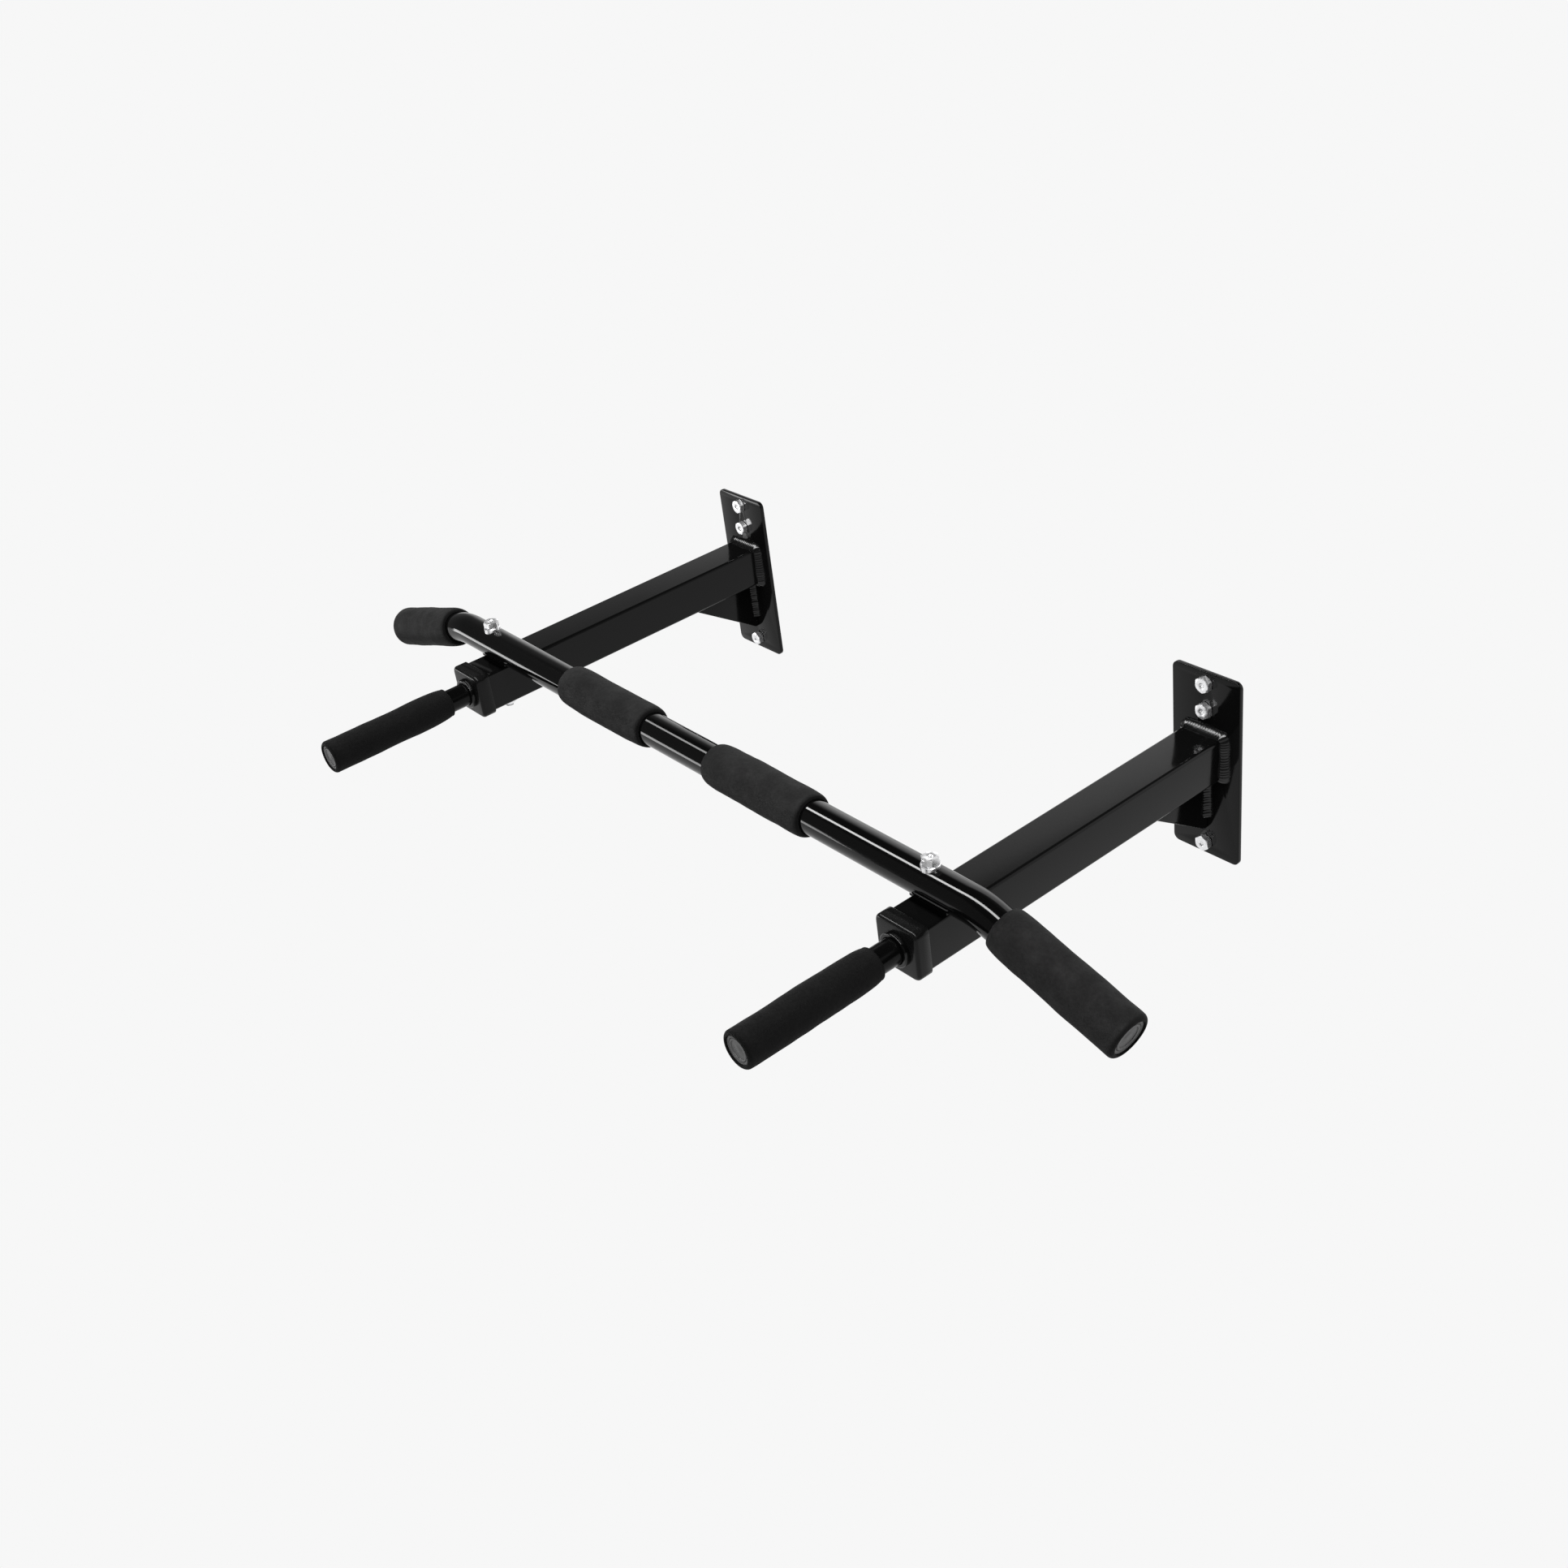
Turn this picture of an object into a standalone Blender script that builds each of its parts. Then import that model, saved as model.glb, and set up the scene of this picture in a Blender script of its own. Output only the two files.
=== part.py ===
"""Wall-mounted pull up bar with a bent cross bar and two straight front handles.

Frame: the wall is the plane Y = 0 and the bar stands out from it along -Y.
X runs along the bar, +X on the right of someone facing the wall, and +Z is up.
The origin is midway between the two wall plates, on the wall, at the arms' axis height.
All sizes are in metres.
"""
import math

import bmesh
import bpy
from mathutils import Matrix, Vector

# Driving dimensions
GAP = 0.0003                     # clearance between pieces that touch

STUD_SPACING = 0.616             # between the centre planes of the two arms
ARM_X = STUD_SPACING / 2

PLATE_WIDTH = 0.070
PLATE_TOP = 0.0755               # heights are measured from the arm's axis
PLATE_BOTTOM = -0.1045
PLATE_THICKNESS = 0.004
PLATE_CORNER = 0.006
WALL_BOLT_HEIGHTS = {"top": 0.065, "middle": 0.040, "bottom": -0.0925}

ARM_SIZE = 0.040                 # square tube
ARM_WALL = 0.002
ARM_CORNER = 0.003
CAP_FRONT_Y = -0.360
CAP_DEPTH = 0.014
CAP_FRONT_WALL = 0.0024
CAP_SIZE = 0.045
CAP_EDGE = 0.0022

GUSSET_LENGTH = 0.086            # along the arm
GUSSET_HEIGHT = 0.057            # down the plate
GUSSET_THICKNESS = 0.004
WELD_LEG = 0.008
GUSSET_WELD_LEG = 0.006

BAR_Y = -0.319
BAR_RADIUS = 0.015
BAR_WALL = 0.002
BAR_LIFT = 0.003                 # the bar's underside above the arm's top
BEND_X = 0.360                   # where the bar's straight and bent axes meet
BEND_ANGLE = math.radians(17.2)
BEND_RADIUS = 0.080
BENT_LENGTH = 0.145              # from that point to the end of the foam
CRADLE_WIDTH = 0.013
CRADLE_HEIGHT = 0.0050

HANDLE_RADIUS = 0.01125
HANDLE_WALL = 0.002
HANDLE_BACK_Y = -0.338           # inside the arm
HANDLE_TIP_Y = -0.5145
COLLAR_RADIUS = 0.0148
COLLAR_LENGTH = 0.004
COLLAR_EDGE = 0.0008
END_PLATE_THICKNESS = 0.004
END_PLATE_BACK_Y = -0.349

FOAM_WALL = 0.0047
FOAM_SHOULDER = 0.0038           # rounding at a grip's inner end
FOAM_TIP_ROUND = 0.0022          # rounding where a plug sits in the foam
CENTRE_GRIP_START = 0.0460
CENTRE_GRIP_LENGTH = 0.1255
END_GRIP_LENGTH = 0.1235
HANDLE_GRIP_LENGTH = 0.1305
PLUG_RECESS = 0.0005             # the plug's face behind the foam's end
PLUG_FLANGE = 0.0020
PLUG_FLANGE_SHARE = 0.82         # of the foam's outer radius
PLUG_STEM_LENGTH = 0.012
PLUG_DISH_SHARE = 0.6            # of the flange's radius
PLUG_EDGE = 0.0005

BOLT_SHANK_RADIUS = 0.004        # M8
BOLT_HOLE_RADIUS = 0.0045
HEX_ACROSS_FLATS = 0.013
HEAD_HEIGHT = 0.0055
HEAD_DIMPLE_RADIUS = 0.0022
HEAD_DIMPLE_DEPTH = 0.0012
HEAD_CHAMFER = 0.0009
NUT_HEIGHT = 0.0065
WASHER_RADIUS = 0.0080
WASHER_THICKNESS = 0.0016
SADDLE_WASHER_HEIGHT = 0.0030    # above the bar's top
SADDLE_SKIRT_SHARE = 0.7         # of the bar's radius, from its axis up to the washer's skirt
BOLT_TAIL = 0.0030               # thread past the nut

# Lines and heights worked out from them
ARM_HALF = ARM_SIZE / 2
PLATE_FRONT_Y = -PLATE_THICKNESS
ARM_BACK_Y = PLATE_FRONT_Y - GAP
ARM_FRONT_Y = CAP_FRONT_Y + CAP_FRONT_WALL + GAP
BAR_Z = ARM_HALF + BAR_LIFT + BAR_RADIUS
BEND_TANGENT = BEND_RADIUS * math.tan(BEND_ANGLE / 2)

ROUND_SIDES = 28
FOAM_SIDES = 28
SMALL_SIDES = 16
DIMPLE_SIDES = 12
CORNER_STEPS = 4
INNER_CORNER_STEPS = 2
BAR_BEVEL_STEPS = 10             # roundness of the bar's outside
BORE_BEVEL_STEPS = 6             # and of its bore
BEND_STEPS = 5
CAP_BEVEL_STEPS = 3
ROTATE_Z_TO_MINUS_Y = Matrix.Rotation(math.radians(90), 4, "X")


def clear_scene():
    """Remove what the file holds, so the model starts from nothing."""
    for existing in list(bpy.data.objects):
        bpy.data.objects.remove(existing, do_unlink=True)


def make_collection(name):
    """A new collection, linked to the scene."""
    made = bpy.data.collections.new(name)
    bpy.context.scene.collection.children.link(made)
    return made


def make_material(name, colour, roughness, metallic):
    """One Principled material with plain values."""
    made = bpy.data.materials.new(name)
    made.use_nodes = True
    shader = made.node_tree.nodes["Principled BSDF"]
    shader.inputs["Base Color"].default_value = (*colour, 1.0)
    shader.inputs["Roughness"].default_value = roughness
    shader.inputs["Metallic"].default_value = metallic
    return made


def add_object(name, data, place=None, finish=None, cutter=False):
    """Link a mesh or curve as a named object, in the parts or the cutters."""
    made = bpy.data.objects.new(name, data)
    (CUTTERS if cutter else PARTS).objects.link(made)
    if place is not None:
        made.matrix_world = place
    if finish is not None:
        data.materials.append(make_material(name + "_finish", *FINISHES[finish]))
    if cutter:
        made.hide_render = True
        made.display_type = "WIRE"
    bpy.context.view_layer.update()
    return made


def mesh_from(build, name):
    """A mesh whose geometry is made by the given function on a bmesh."""
    work = bmesh.new()
    build(work)
    data = bpy.data.meshes.new(name)
    work.to_mesh(data)
    work.free()
    return data


def box_mesh(name, size, centre=(0.0, 0.0, 0.0)):
    """A box of the given size, its scale already in its vertices."""
    def build(work):
        shape = Matrix.Translation(centre) @ Matrix.Diagonal((*size, 1.0))
        bmesh.ops.create_cube(work, size=1.0, matrix=shape)
    return mesh_from(build, name)


def cylinder_mesh(name, radius, length, sides=ROUND_SIDES, end_radius=None):
    """A cylinder or cone frustum about Z, from Z = 0 up to its length."""
    top = radius if end_radius is None else end_radius

    def build(work):
        bmesh.ops.create_cone(
            work, cap_ends=True, segments=sides, radius1=radius, radius2=top, depth=length,
            matrix=Matrix.Translation((0.0, 0.0, length / 2)))
    return mesh_from(build, name)


def cut(target, cutter, operation="DIFFERENCE"):
    """Take the cutter's solid away from the target, or join it on."""
    boolean = target.modifiers.new(cutter.name, "BOOLEAN")
    boolean.object = cutter
    boolean.operation = operation
    boolean.solver = "EXACT"


def bevel(target, width, segments):
    """Round the target's sharp edges."""
    rounding = target.modifiers.new("rounded_edges", "BEVEL")
    rounding.width = width
    rounding.segments = segments
    rounding.limit_method = "ANGLE"
    rounding.angle_limit = math.radians(40)


def shade_round(target, angle=math.radians(35)):
    """Shade a round piece smooth, and keep its sharp corners."""
    target.data.shade_smooth()
    target.data.set_sharp_from_angle(angle=angle)


def rounded_rectangle(width, height, corner, centre=(0.0, 0.0), steps=CORNER_STEPS):
    """The outline of a rectangle with round corners, anticlockwise."""
    outline = []
    for quarter, (sign_x, sign_y) in enumerate(((1, 1), (-1, 1), (-1, -1), (1, -1))):
        middle_x = centre[0] + sign_x * (width / 2 - corner)
        middle_y = centre[1] + sign_y * (height / 2 - corner)
        for step in range(steps + 1):
            angle = math.radians(90) * (quarter + step / steps)
            outline.append((middle_x + corner * math.cos(angle),
                            middle_y + corner * math.sin(angle)))
    return outline


def circle_outline(radius, centre=(0.0, 0.0), sides=SMALL_SIDES):
    """The outline of a round hole."""
    return [(centre[0] + radius * math.cos(math.tau * side / sides),
             centre[1] + radius * math.sin(math.tau * side / sides))
            for side in range(sides)]


def flat_curve(name, outlines, thickness):
    """A flat sheet cut to the outlines: the first is its edge, the rest are holes."""
    data = bpy.data.curves.new(name, "CURVE")
    data.dimensions = "2D"
    data.fill_mode = "BOTH"
    data.extrude = thickness / 2
    for outline in outlines:
        spline = data.splines.new("POLY")
        spline.points.add(len(outline) - 1)
        for point, (x, y) in zip(spline.points, outline):
            point.co = (x, y, 0.0, 1.0)
        spline.use_cyclic_u = True
    return data


def round_curve(name, points, radius, bevel_steps):
    """A round rod along a line of points, closed at both ends."""
    data = bpy.data.curves.new(name, "CURVE")
    data.dimensions = "3D"
    data.bevel_depth = radius
    data.bevel_resolution = bevel_steps
    data.use_fill_caps = True
    spline = data.splines.new("POLY")
    spline.points.add(len(points) - 1)
    for point, place in zip(spline.points, points):
        point.co = (*place, 1.0)
    return data


def as_mesh_object(curve_object):
    """Turn a curve object into a mesh object of the same name and place."""
    name = curve_object.name
    cutter = curve_object.hide_render
    place = curve_object.matrix_world.copy()
    evaluated = curve_object.evaluated_get(bpy.context.evaluated_depsgraph_get())
    data = bpy.data.meshes.new_from_object(evaluated)
    work = bmesh.new()
    work.from_mesh(data)
    bmesh.ops.remove_doubles(work, verts=work.verts, dist=0.00001)
    bmesh.ops.recalc_face_normals(work, faces=work.faces)
    work.to_mesh(data)
    work.free()
    bpy.data.objects.remove(curve_object, do_unlink=True)
    return add_object(name, data, place, cutter=cutter)


def turned(name, profile, place, finish, sides=ROUND_SIDES, closed=True):
    """A solid of revolution about Z.

    The profile is (radius, height) points down the outer side, top to bottom, and
    back up the inner side where it is closed. An open one starts and ends on the axis.
    """
    data = bpy.data.meshes.new(name)
    corners = [(radius, 0.0, height) for radius, height in profile]
    edges = [(index, index + 1) for index in range(len(corners) - 1)]
    if closed:
        edges.append((len(corners) - 1, 0))
    data.from_pydata(corners, edges, [])
    made = add_object(name, data, place, finish)
    screw = made.modifiers.new("turned", "SCREW")
    screw.axis = "Z"
    screw.angle = math.tau
    screw.steps = sides
    screw.render_steps = sides
    screw.use_merge_vertices = True
    screw.merge_threshold = 0.00001
    screw.use_smooth_shade = True
    return made


def drill(target, name, radius, start, direction, length, sides=SMALL_SIDES):
    """Bore a round hole through the target along a direction."""
    place = Matrix.Translation(start) @ Vector((0, 0, 1)).rotation_difference(
        Vector(direction)).to_matrix().to_4x4()
    cutter = add_object(name, cylinder_mesh(name, radius, length, sides), place, cutter=True)
    cut(target, cutter)


def place_at(x=0.0, y=0.0, z=0.0):
    """A location matrix."""
    return Matrix.Translation((x, y, z))


def toward_front(x, y, z):
    """A place whose local Z points along -Y, away from the wall."""
    return place_at(x, y, z) @ ROTATE_Z_TO_MINUS_Y


def along_bar(side, x):
    """A place on the bar's axis whose local Z points outward along the bar."""
    return place_at(side * x, BAR_Y, BAR_Z) @ Matrix.Rotation(side * math.radians(90), 4, "Y")


def along_bent_end(side, distance):
    """A place on a bent end's axis, its local Z pointing out to the tip."""
    tilt = side * (math.radians(90) + BEND_ANGLE)
    x = BEND_X + distance * math.cos(BEND_ANGLE)
    z = BAR_Z - distance * math.sin(BEND_ANGLE)
    return place_at(side * x, BAR_Y, z) @ Matrix.Rotation(tilt, 4, "Y")


# Steel structure

def wall_plate(side_name, side):
    """Flat steel plate with round corners and three bolt holes on its centre line."""
    name = side_name + "_wall_plate"
    height = PLATE_TOP - PLATE_BOTTOM
    middle = (PLATE_TOP + PLATE_BOTTOM) / 2
    outlines = [rounded_rectangle(PLATE_WIDTH, height, PLATE_CORNER, (0.0, middle))]
    outlines += [circle_outline(BOLT_HOLE_RADIUS, (0.0, z)) for z in WALL_BOLT_HEIGHTS.values()]
    data = flat_curve(name, outlines, PLATE_THICKNESS)
    return add_object(name, data, toward_front(side * ARM_X, -PLATE_THICKNESS / 2, 0.0),
                      "painted_steel")


def arm(side_name, side):
    """Square tube, open at both ends, drilled through for the bar's bolt."""
    name = side_name + "_arm"
    outer = rounded_rectangle(ARM_SIZE, ARM_SIZE, ARM_CORNER)
    inner_size = ARM_SIZE - 2 * ARM_WALL
    inner = rounded_rectangle(inner_size, inner_size, ARM_CORNER - ARM_WALL,
                              steps=INNER_CORNER_STEPS)
    length = ARM_BACK_Y - ARM_FRONT_Y
    middle = (ARM_BACK_Y + ARM_FRONT_Y) / 2
    place = toward_front(side * ARM_X, middle, 0.0)
    made = as_mesh_object(add_object(name, flat_curve(name, [outer, inner], length), place))
    made.data.materials.append(make_material(name + "_finish", *FINISHES["painted_steel"]))
    drill(made, name + "_bolt_hole", BOLT_HOLE_RADIUS,
          (side * ARM_X, BAR_Y, ARM_SIZE), (0, 0, -1), 2 * ARM_SIZE)
    return made


def gusset(side_name, side):
    """Triangular rib under the arm, in the arm's centre plane."""
    name = side_name + "_gusset"
    back = -ARM_BACK_Y
    top = -ARM_HALF - GAP
    outline = [(back, top - GUSSET_HEIGHT), (back + GUSSET_LENGTH, top), (back, top)]
    sheet = flat_curve(name, [outline], GUSSET_THICKNESS)
    stand = Matrix(((0, 0, -1, 0), (-1, 0, 0, 0), (0, 1, 0, 0), (0, 0, 0, 1)))
    return add_object(name, sheet, place_at(side * ARM_X) @ stand, "painted_steel")


def arm_weld(side_name, side):
    """Fillet weld round the arm where it meets the plate, open where the gusset passes."""
    name = side_name + "_arm_weld"
    wide = (ARM_HALF + WELD_LEG) * math.sqrt(2)
    narrow = (ARM_HALF + 2 * GAP) * math.sqrt(2)
    frustum = cylinder_mesh(name, wide, WELD_LEG, 4, narrow)
    turn = Matrix.Rotation(math.radians(45), 4, "Z")
    place = toward_front(side * ARM_X, ARM_BACK_Y, 0.0) @ turn
    made = add_object(name, frustum, place, "painted_steel")
    hole = ARM_SIZE + 2 * GAP
    opening = add_object(name + "_opening", box_mesh(name, (hole, 4 * WELD_LEG, hole)),
                         place_at(side * ARM_X, ARM_BACK_Y, 0.0), cutter=True)
    cut(made, opening)
    slot_width = GUSSET_THICKNESS + 2 * GUSSET_WELD_LEG + 2 * GAP
    slot = add_object(name + "_slot", box_mesh(name, (slot_width, 4 * WELD_LEG, ARM_SIZE)),
                      place_at(side * ARM_X, ARM_BACK_Y, -ARM_SIZE), cutter=True)
    cut(made, slot)
    return made


def gusset_weld(side_name, side, face_name, face):
    """Fillet weld down one face of the gusset, against the plate."""
    name = f"{side_name}_gusset_weld_{face_name}"
    root = face * (GUSSET_THICKNESS / 2 + GAP)
    outline = [(root, 0.0), (root + face * GUSSET_WELD_LEG, 0.0), (root, GUSSET_WELD_LEG)]
    height = GUSSET_HEIGHT - 2 * GUSSET_WELD_LEG
    top = -ARM_HALF - 2 * GAP
    place = place_at(side * ARM_X, ARM_BACK_Y, top - height / 2) @ Matrix.Rotation(math.pi, 4, "X")
    return add_object(name, flat_curve(name, [outline], height), place, "painted_steel")


def bar_route():
    """The bar's axis: straight, then an arc down into each bent end."""
    tube_end = BENT_LENGTH - PLUG_RECESS - PLUG_FLANGE - GAP
    start_x = BEND_X - BEND_TANGENT
    half = [(start_x + BEND_RADIUS * math.sin(BEND_ANGLE * step / BEND_STEPS),
             BAR_Z - BEND_RADIUS * (1 - math.cos(BEND_ANGLE * step / BEND_STEPS)))
            for step in range(BEND_STEPS + 1)]
    half.append((BEND_X + tube_end * math.cos(BEND_ANGLE),
                 BAR_Z - tube_end * math.sin(BEND_ANGLE)))
    right = [(x, BAR_Y, z) for x, z in half]
    left = [(-x, BAR_Y, z) for x, z in reversed(half)]
    return left + right


def cross_bar():
    """Round tube across both arms, open at its ends, with a bolt hole over each arm."""
    route = bar_route()
    tube = round_curve("cross_bar", route, BAR_RADIUS, BAR_BEVEL_STEPS)
    made = as_mesh_object(add_object("cross_bar", tube))
    made.data.materials.append(make_material("cross_bar_finish", *FINISHES["painted_steel"]))
    overshoot = 0.010
    reach = Vector((math.cos(BEND_ANGLE), 0.0, -math.sin(BEND_ANGLE))) * overshoot
    first = Vector(route[0]) + Vector((-reach.x, 0.0, reach.z))
    last = Vector(route[-1]) + reach
    bore_route = [first] + route[1:-1] + [last]
    bore = round_curve("cross_bar_bore", bore_route, BAR_RADIUS - BAR_WALL, BORE_BEVEL_STEPS)
    cut(made, as_mesh_object(add_object("cross_bar_bore", bore, cutter=True)))
    for side_name, side in SIDES:
        drill(made, side_name + "_bar_bolt_hole", BOLT_HOLE_RADIUS,
              (side * ARM_X, BAR_Y, BAR_Z + 2 * BAR_RADIUS), (0, 0, -1), 4 * BAR_RADIUS)
    shade_round(made)
    return made


def cradle(side_name, side):
    """Short steel saddle that carries the round bar on the flat arm."""
    name = side_name + "_bar_cradle"
    bottom = ARM_HALF + GAP
    block = box_mesh(name, (ARM_SIZE, CRADLE_WIDTH, CRADLE_HEIGHT), (0.0, 0.0, CRADLE_HEIGHT / 2))
    made = add_object(name, block, place_at(side * ARM_X, BAR_Y, bottom), "painted_steel")
    seat_name = name + "_seat"
    seat = add_object(seat_name, cylinder_mesh(seat_name, BAR_RADIUS + GAP, 2 * ARM_SIZE),
                      along_bar(side, ARM_X - ARM_SIZE), cutter=True)
    cut(made, seat)
    drill(made, name + "_hole", BOLT_HOLE_RADIUS,
          (side * ARM_X, BAR_Y, BAR_Z), (0, 0, -1), 2 * BAR_RADIUS)
    return made


def handle_tube(side_name, side):
    """Straight tube of the front handle, from inside the arm to its plug."""
    length = abs(HANDLE_TIP_Y - HANDLE_BACK_Y) - PLUG_RECESS - PLUG_FLANGE - GAP
    inner = HANDLE_RADIUS - HANDLE_WALL
    profile = [(HANDLE_RADIUS, length), (HANDLE_RADIUS, 0.0), (inner, 0.0), (inner, length)]
    return turned(side_name + "_handle_tube", profile,
                  toward_front(side * ARM_X, HANDLE_BACK_Y, 0.0), "painted_steel")


def handle_collar(side_name, side):
    """Ring on the handle tube, against the front of the end cap."""
    inner = HANDLE_RADIUS + GAP
    profile = [(COLLAR_RADIUS - COLLAR_EDGE, COLLAR_LENGTH),
               (COLLAR_RADIUS, COLLAR_LENGTH - COLLAR_EDGE),
               (COLLAR_RADIUS, 0.0), (inner, 0.0), (inner, COLLAR_LENGTH)]
    return turned(side_name + "_handle_collar", profile,
                  toward_front(side * ARM_X, CAP_FRONT_Y - GAP, 0.0), "painted_steel")


def arm_end_plate(side_name, side):
    """Square plate welded inside the arm's mouth, which carries the handle tube."""
    name = side_name + "_arm_end_plate"
    width = ARM_SIZE - 2 * ARM_WALL - 2 * GAP
    outlines = [rounded_rectangle(width, width, ARM_CORNER - ARM_WALL,
                              steps=INNER_CORNER_STEPS),
                circle_outline(HANDLE_RADIUS + GAP, sides=ROUND_SIDES)]
    middle = END_PLATE_BACK_Y - END_PLATE_THICKNESS / 2
    return add_object(name, flat_curve(name, outlines, END_PLATE_THICKNESS),
                      toward_front(side * ARM_X, middle, 0.0), "painted_steel")


# Plastic and foam

def end_cap(side_name, side):
    """Sleeve cap over the arm's front end, with a round hole for the handle tube."""
    name = side_name + "_end_cap"
    block = box_mesh(name, (CAP_SIZE, CAP_DEPTH, CAP_SIZE))
    middle = CAP_FRONT_Y + CAP_DEPTH / 2
    made = add_object(name, block, place_at(side * ARM_X, middle, 0.0), "black_plastic")
    bevel(made, CAP_EDGE, CAP_BEVEL_STEPS)
    room = ARM_SIZE + 2 * GAP
    pocket_name = name + "_pocket"
    pocket_middle = CAP_FRONT_Y + CAP_FRONT_WALL + CAP_DEPTH
    pocket_outline = rounded_rectangle(room, room, ARM_CORNER)
    pocket = add_object(pocket_name, flat_curve(pocket_name, [pocket_outline], 2 * CAP_DEPTH),
                        toward_front(side * ARM_X, pocket_middle, 0.0), cutter=True)
    cut(made, as_mesh_object(pocket))
    drill(made, name + "_hole", HANDLE_RADIUS + GAP,
          (side * ARM_X, CAP_FRONT_Y + CAP_DEPTH, 0.0), (0, -1, 0), 2 * CAP_DEPTH, ROUND_SIDES)
    return made


def quarter_round(outer, end, radius, toward_tip, steps=3):
    """Profile points that round a sleeve's outer edge, in top-to-bottom order."""
    points = []
    for step in range(steps + 1):
        angle = math.radians(90) * step / steps
        if toward_tip:
            points.append((outer - radius + radius * math.sin(angle),
                           end - radius + radius * math.cos(angle)))
        else:
            points.append((outer - radius + radius * math.cos(angle),
                           end + radius - radius * math.sin(angle)))
    return points


def foam_grip(name, tube_radius, length, place, holds_plug=True):
    """Foam sleeve on a tube, from local Z = 0 to its length, with round shoulders."""
    inner = tube_radius + GAP
    outer = tube_radius + FOAM_WALL
    tip_round = FOAM_TIP_ROUND if holds_plug else FOAM_SHOULDER
    profile = quarter_round(outer, length, tip_round, True)
    profile += quarter_round(outer, 0.0, FOAM_SHOULDER, False)
    profile.append((inner, 0.0))
    if holds_plug:
        seat = PLUG_FLANGE_SHARE * outer + GAP
        seat_height = length - PLUG_RECESS - PLUG_FLANGE - GAP
        profile += [(inner, seat_height), (seat, seat_height), (seat, length)]
    else:
        profile.append((inner, length))
    return turned(name, profile, place, "foam", FOAM_SIDES)


def end_plug(name, tube_radius, wall, place):
    """Round plug in a tube's open end: a flange with a shallow dish, and a stem."""
    stem = tube_radius - wall - GAP
    rim = PLUG_FLANGE_SHARE * (tube_radius + FOAM_WALL)
    dish = rim * PLUG_DISH_SHARE
    low = PLUG_FLANGE - PLUG_EDGE
    profile = [(0.0, low), (dish, low), (dish + PLUG_EDGE, PLUG_FLANGE),
               (rim - PLUG_EDGE, PLUG_FLANGE), (rim, low),
               (rim, 0.0), (stem, 0.0), (stem, -PLUG_STEM_LENGTH),
               (0.0, -PLUG_STEM_LENGTH)]
    return turned(name, profile, place, "plug_plastic", closed=False)


# Fasteners

def hex_bolt(name, place, shank_length):
    """Hex bolt along local Z: its head stands from Z = 0 up, its shank runs down."""
    radius = HEX_ACROSS_FLATS / math.sqrt(3)
    head = cylinder_mesh(name, radius, HEAD_HEIGHT, 6)
    made = add_object(name, head, place, "zinc")
    crown_name = name + "_crown"
    crown_depth = 2 * HEAD_HEIGHT
    crown = add_object(crown_name, cylinder_mesh(
        crown_name, radius + HEAD_HEIGHT, crown_depth, ROUND_SIDES, radius - HEAD_CHAMFER),
        place @ place_at(z=HEAD_HEIGHT - crown_depth), cutter=True)
    cut(made, crown, "INTERSECT")
    shank_name = name + "_shank"
    sunk = HEAD_HEIGHT / 2
    shank = add_object(shank_name, cylinder_mesh(
        shank_name, BOLT_SHANK_RADIUS, shank_length + sunk, SMALL_SIDES),
        place @ place_at(z=-shank_length), cutter=True)
    cut(made, shank, "UNION")
    start = (place @ place_at(z=HEAD_HEIGHT - HEAD_DIMPLE_DEPTH)).translation
    outward = place.to_3x3() @ Vector((0, 0, 1))
    drill(made, name + "_dimple", HEAD_DIMPLE_RADIUS, start, outward, HEAD_HEIGHT, DIMPLE_SIDES)
    return made


def wall_bolt(side_name, side, height_name, height):
    """Bolt through the wall plate, its shank level with the wall."""
    place = toward_front(side * ARM_X, PLATE_FRONT_Y - GAP, height)
    return hex_bolt(f"{side_name}_wall_bolt_{height_name}", place, PLATE_THICKNESS)


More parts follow.
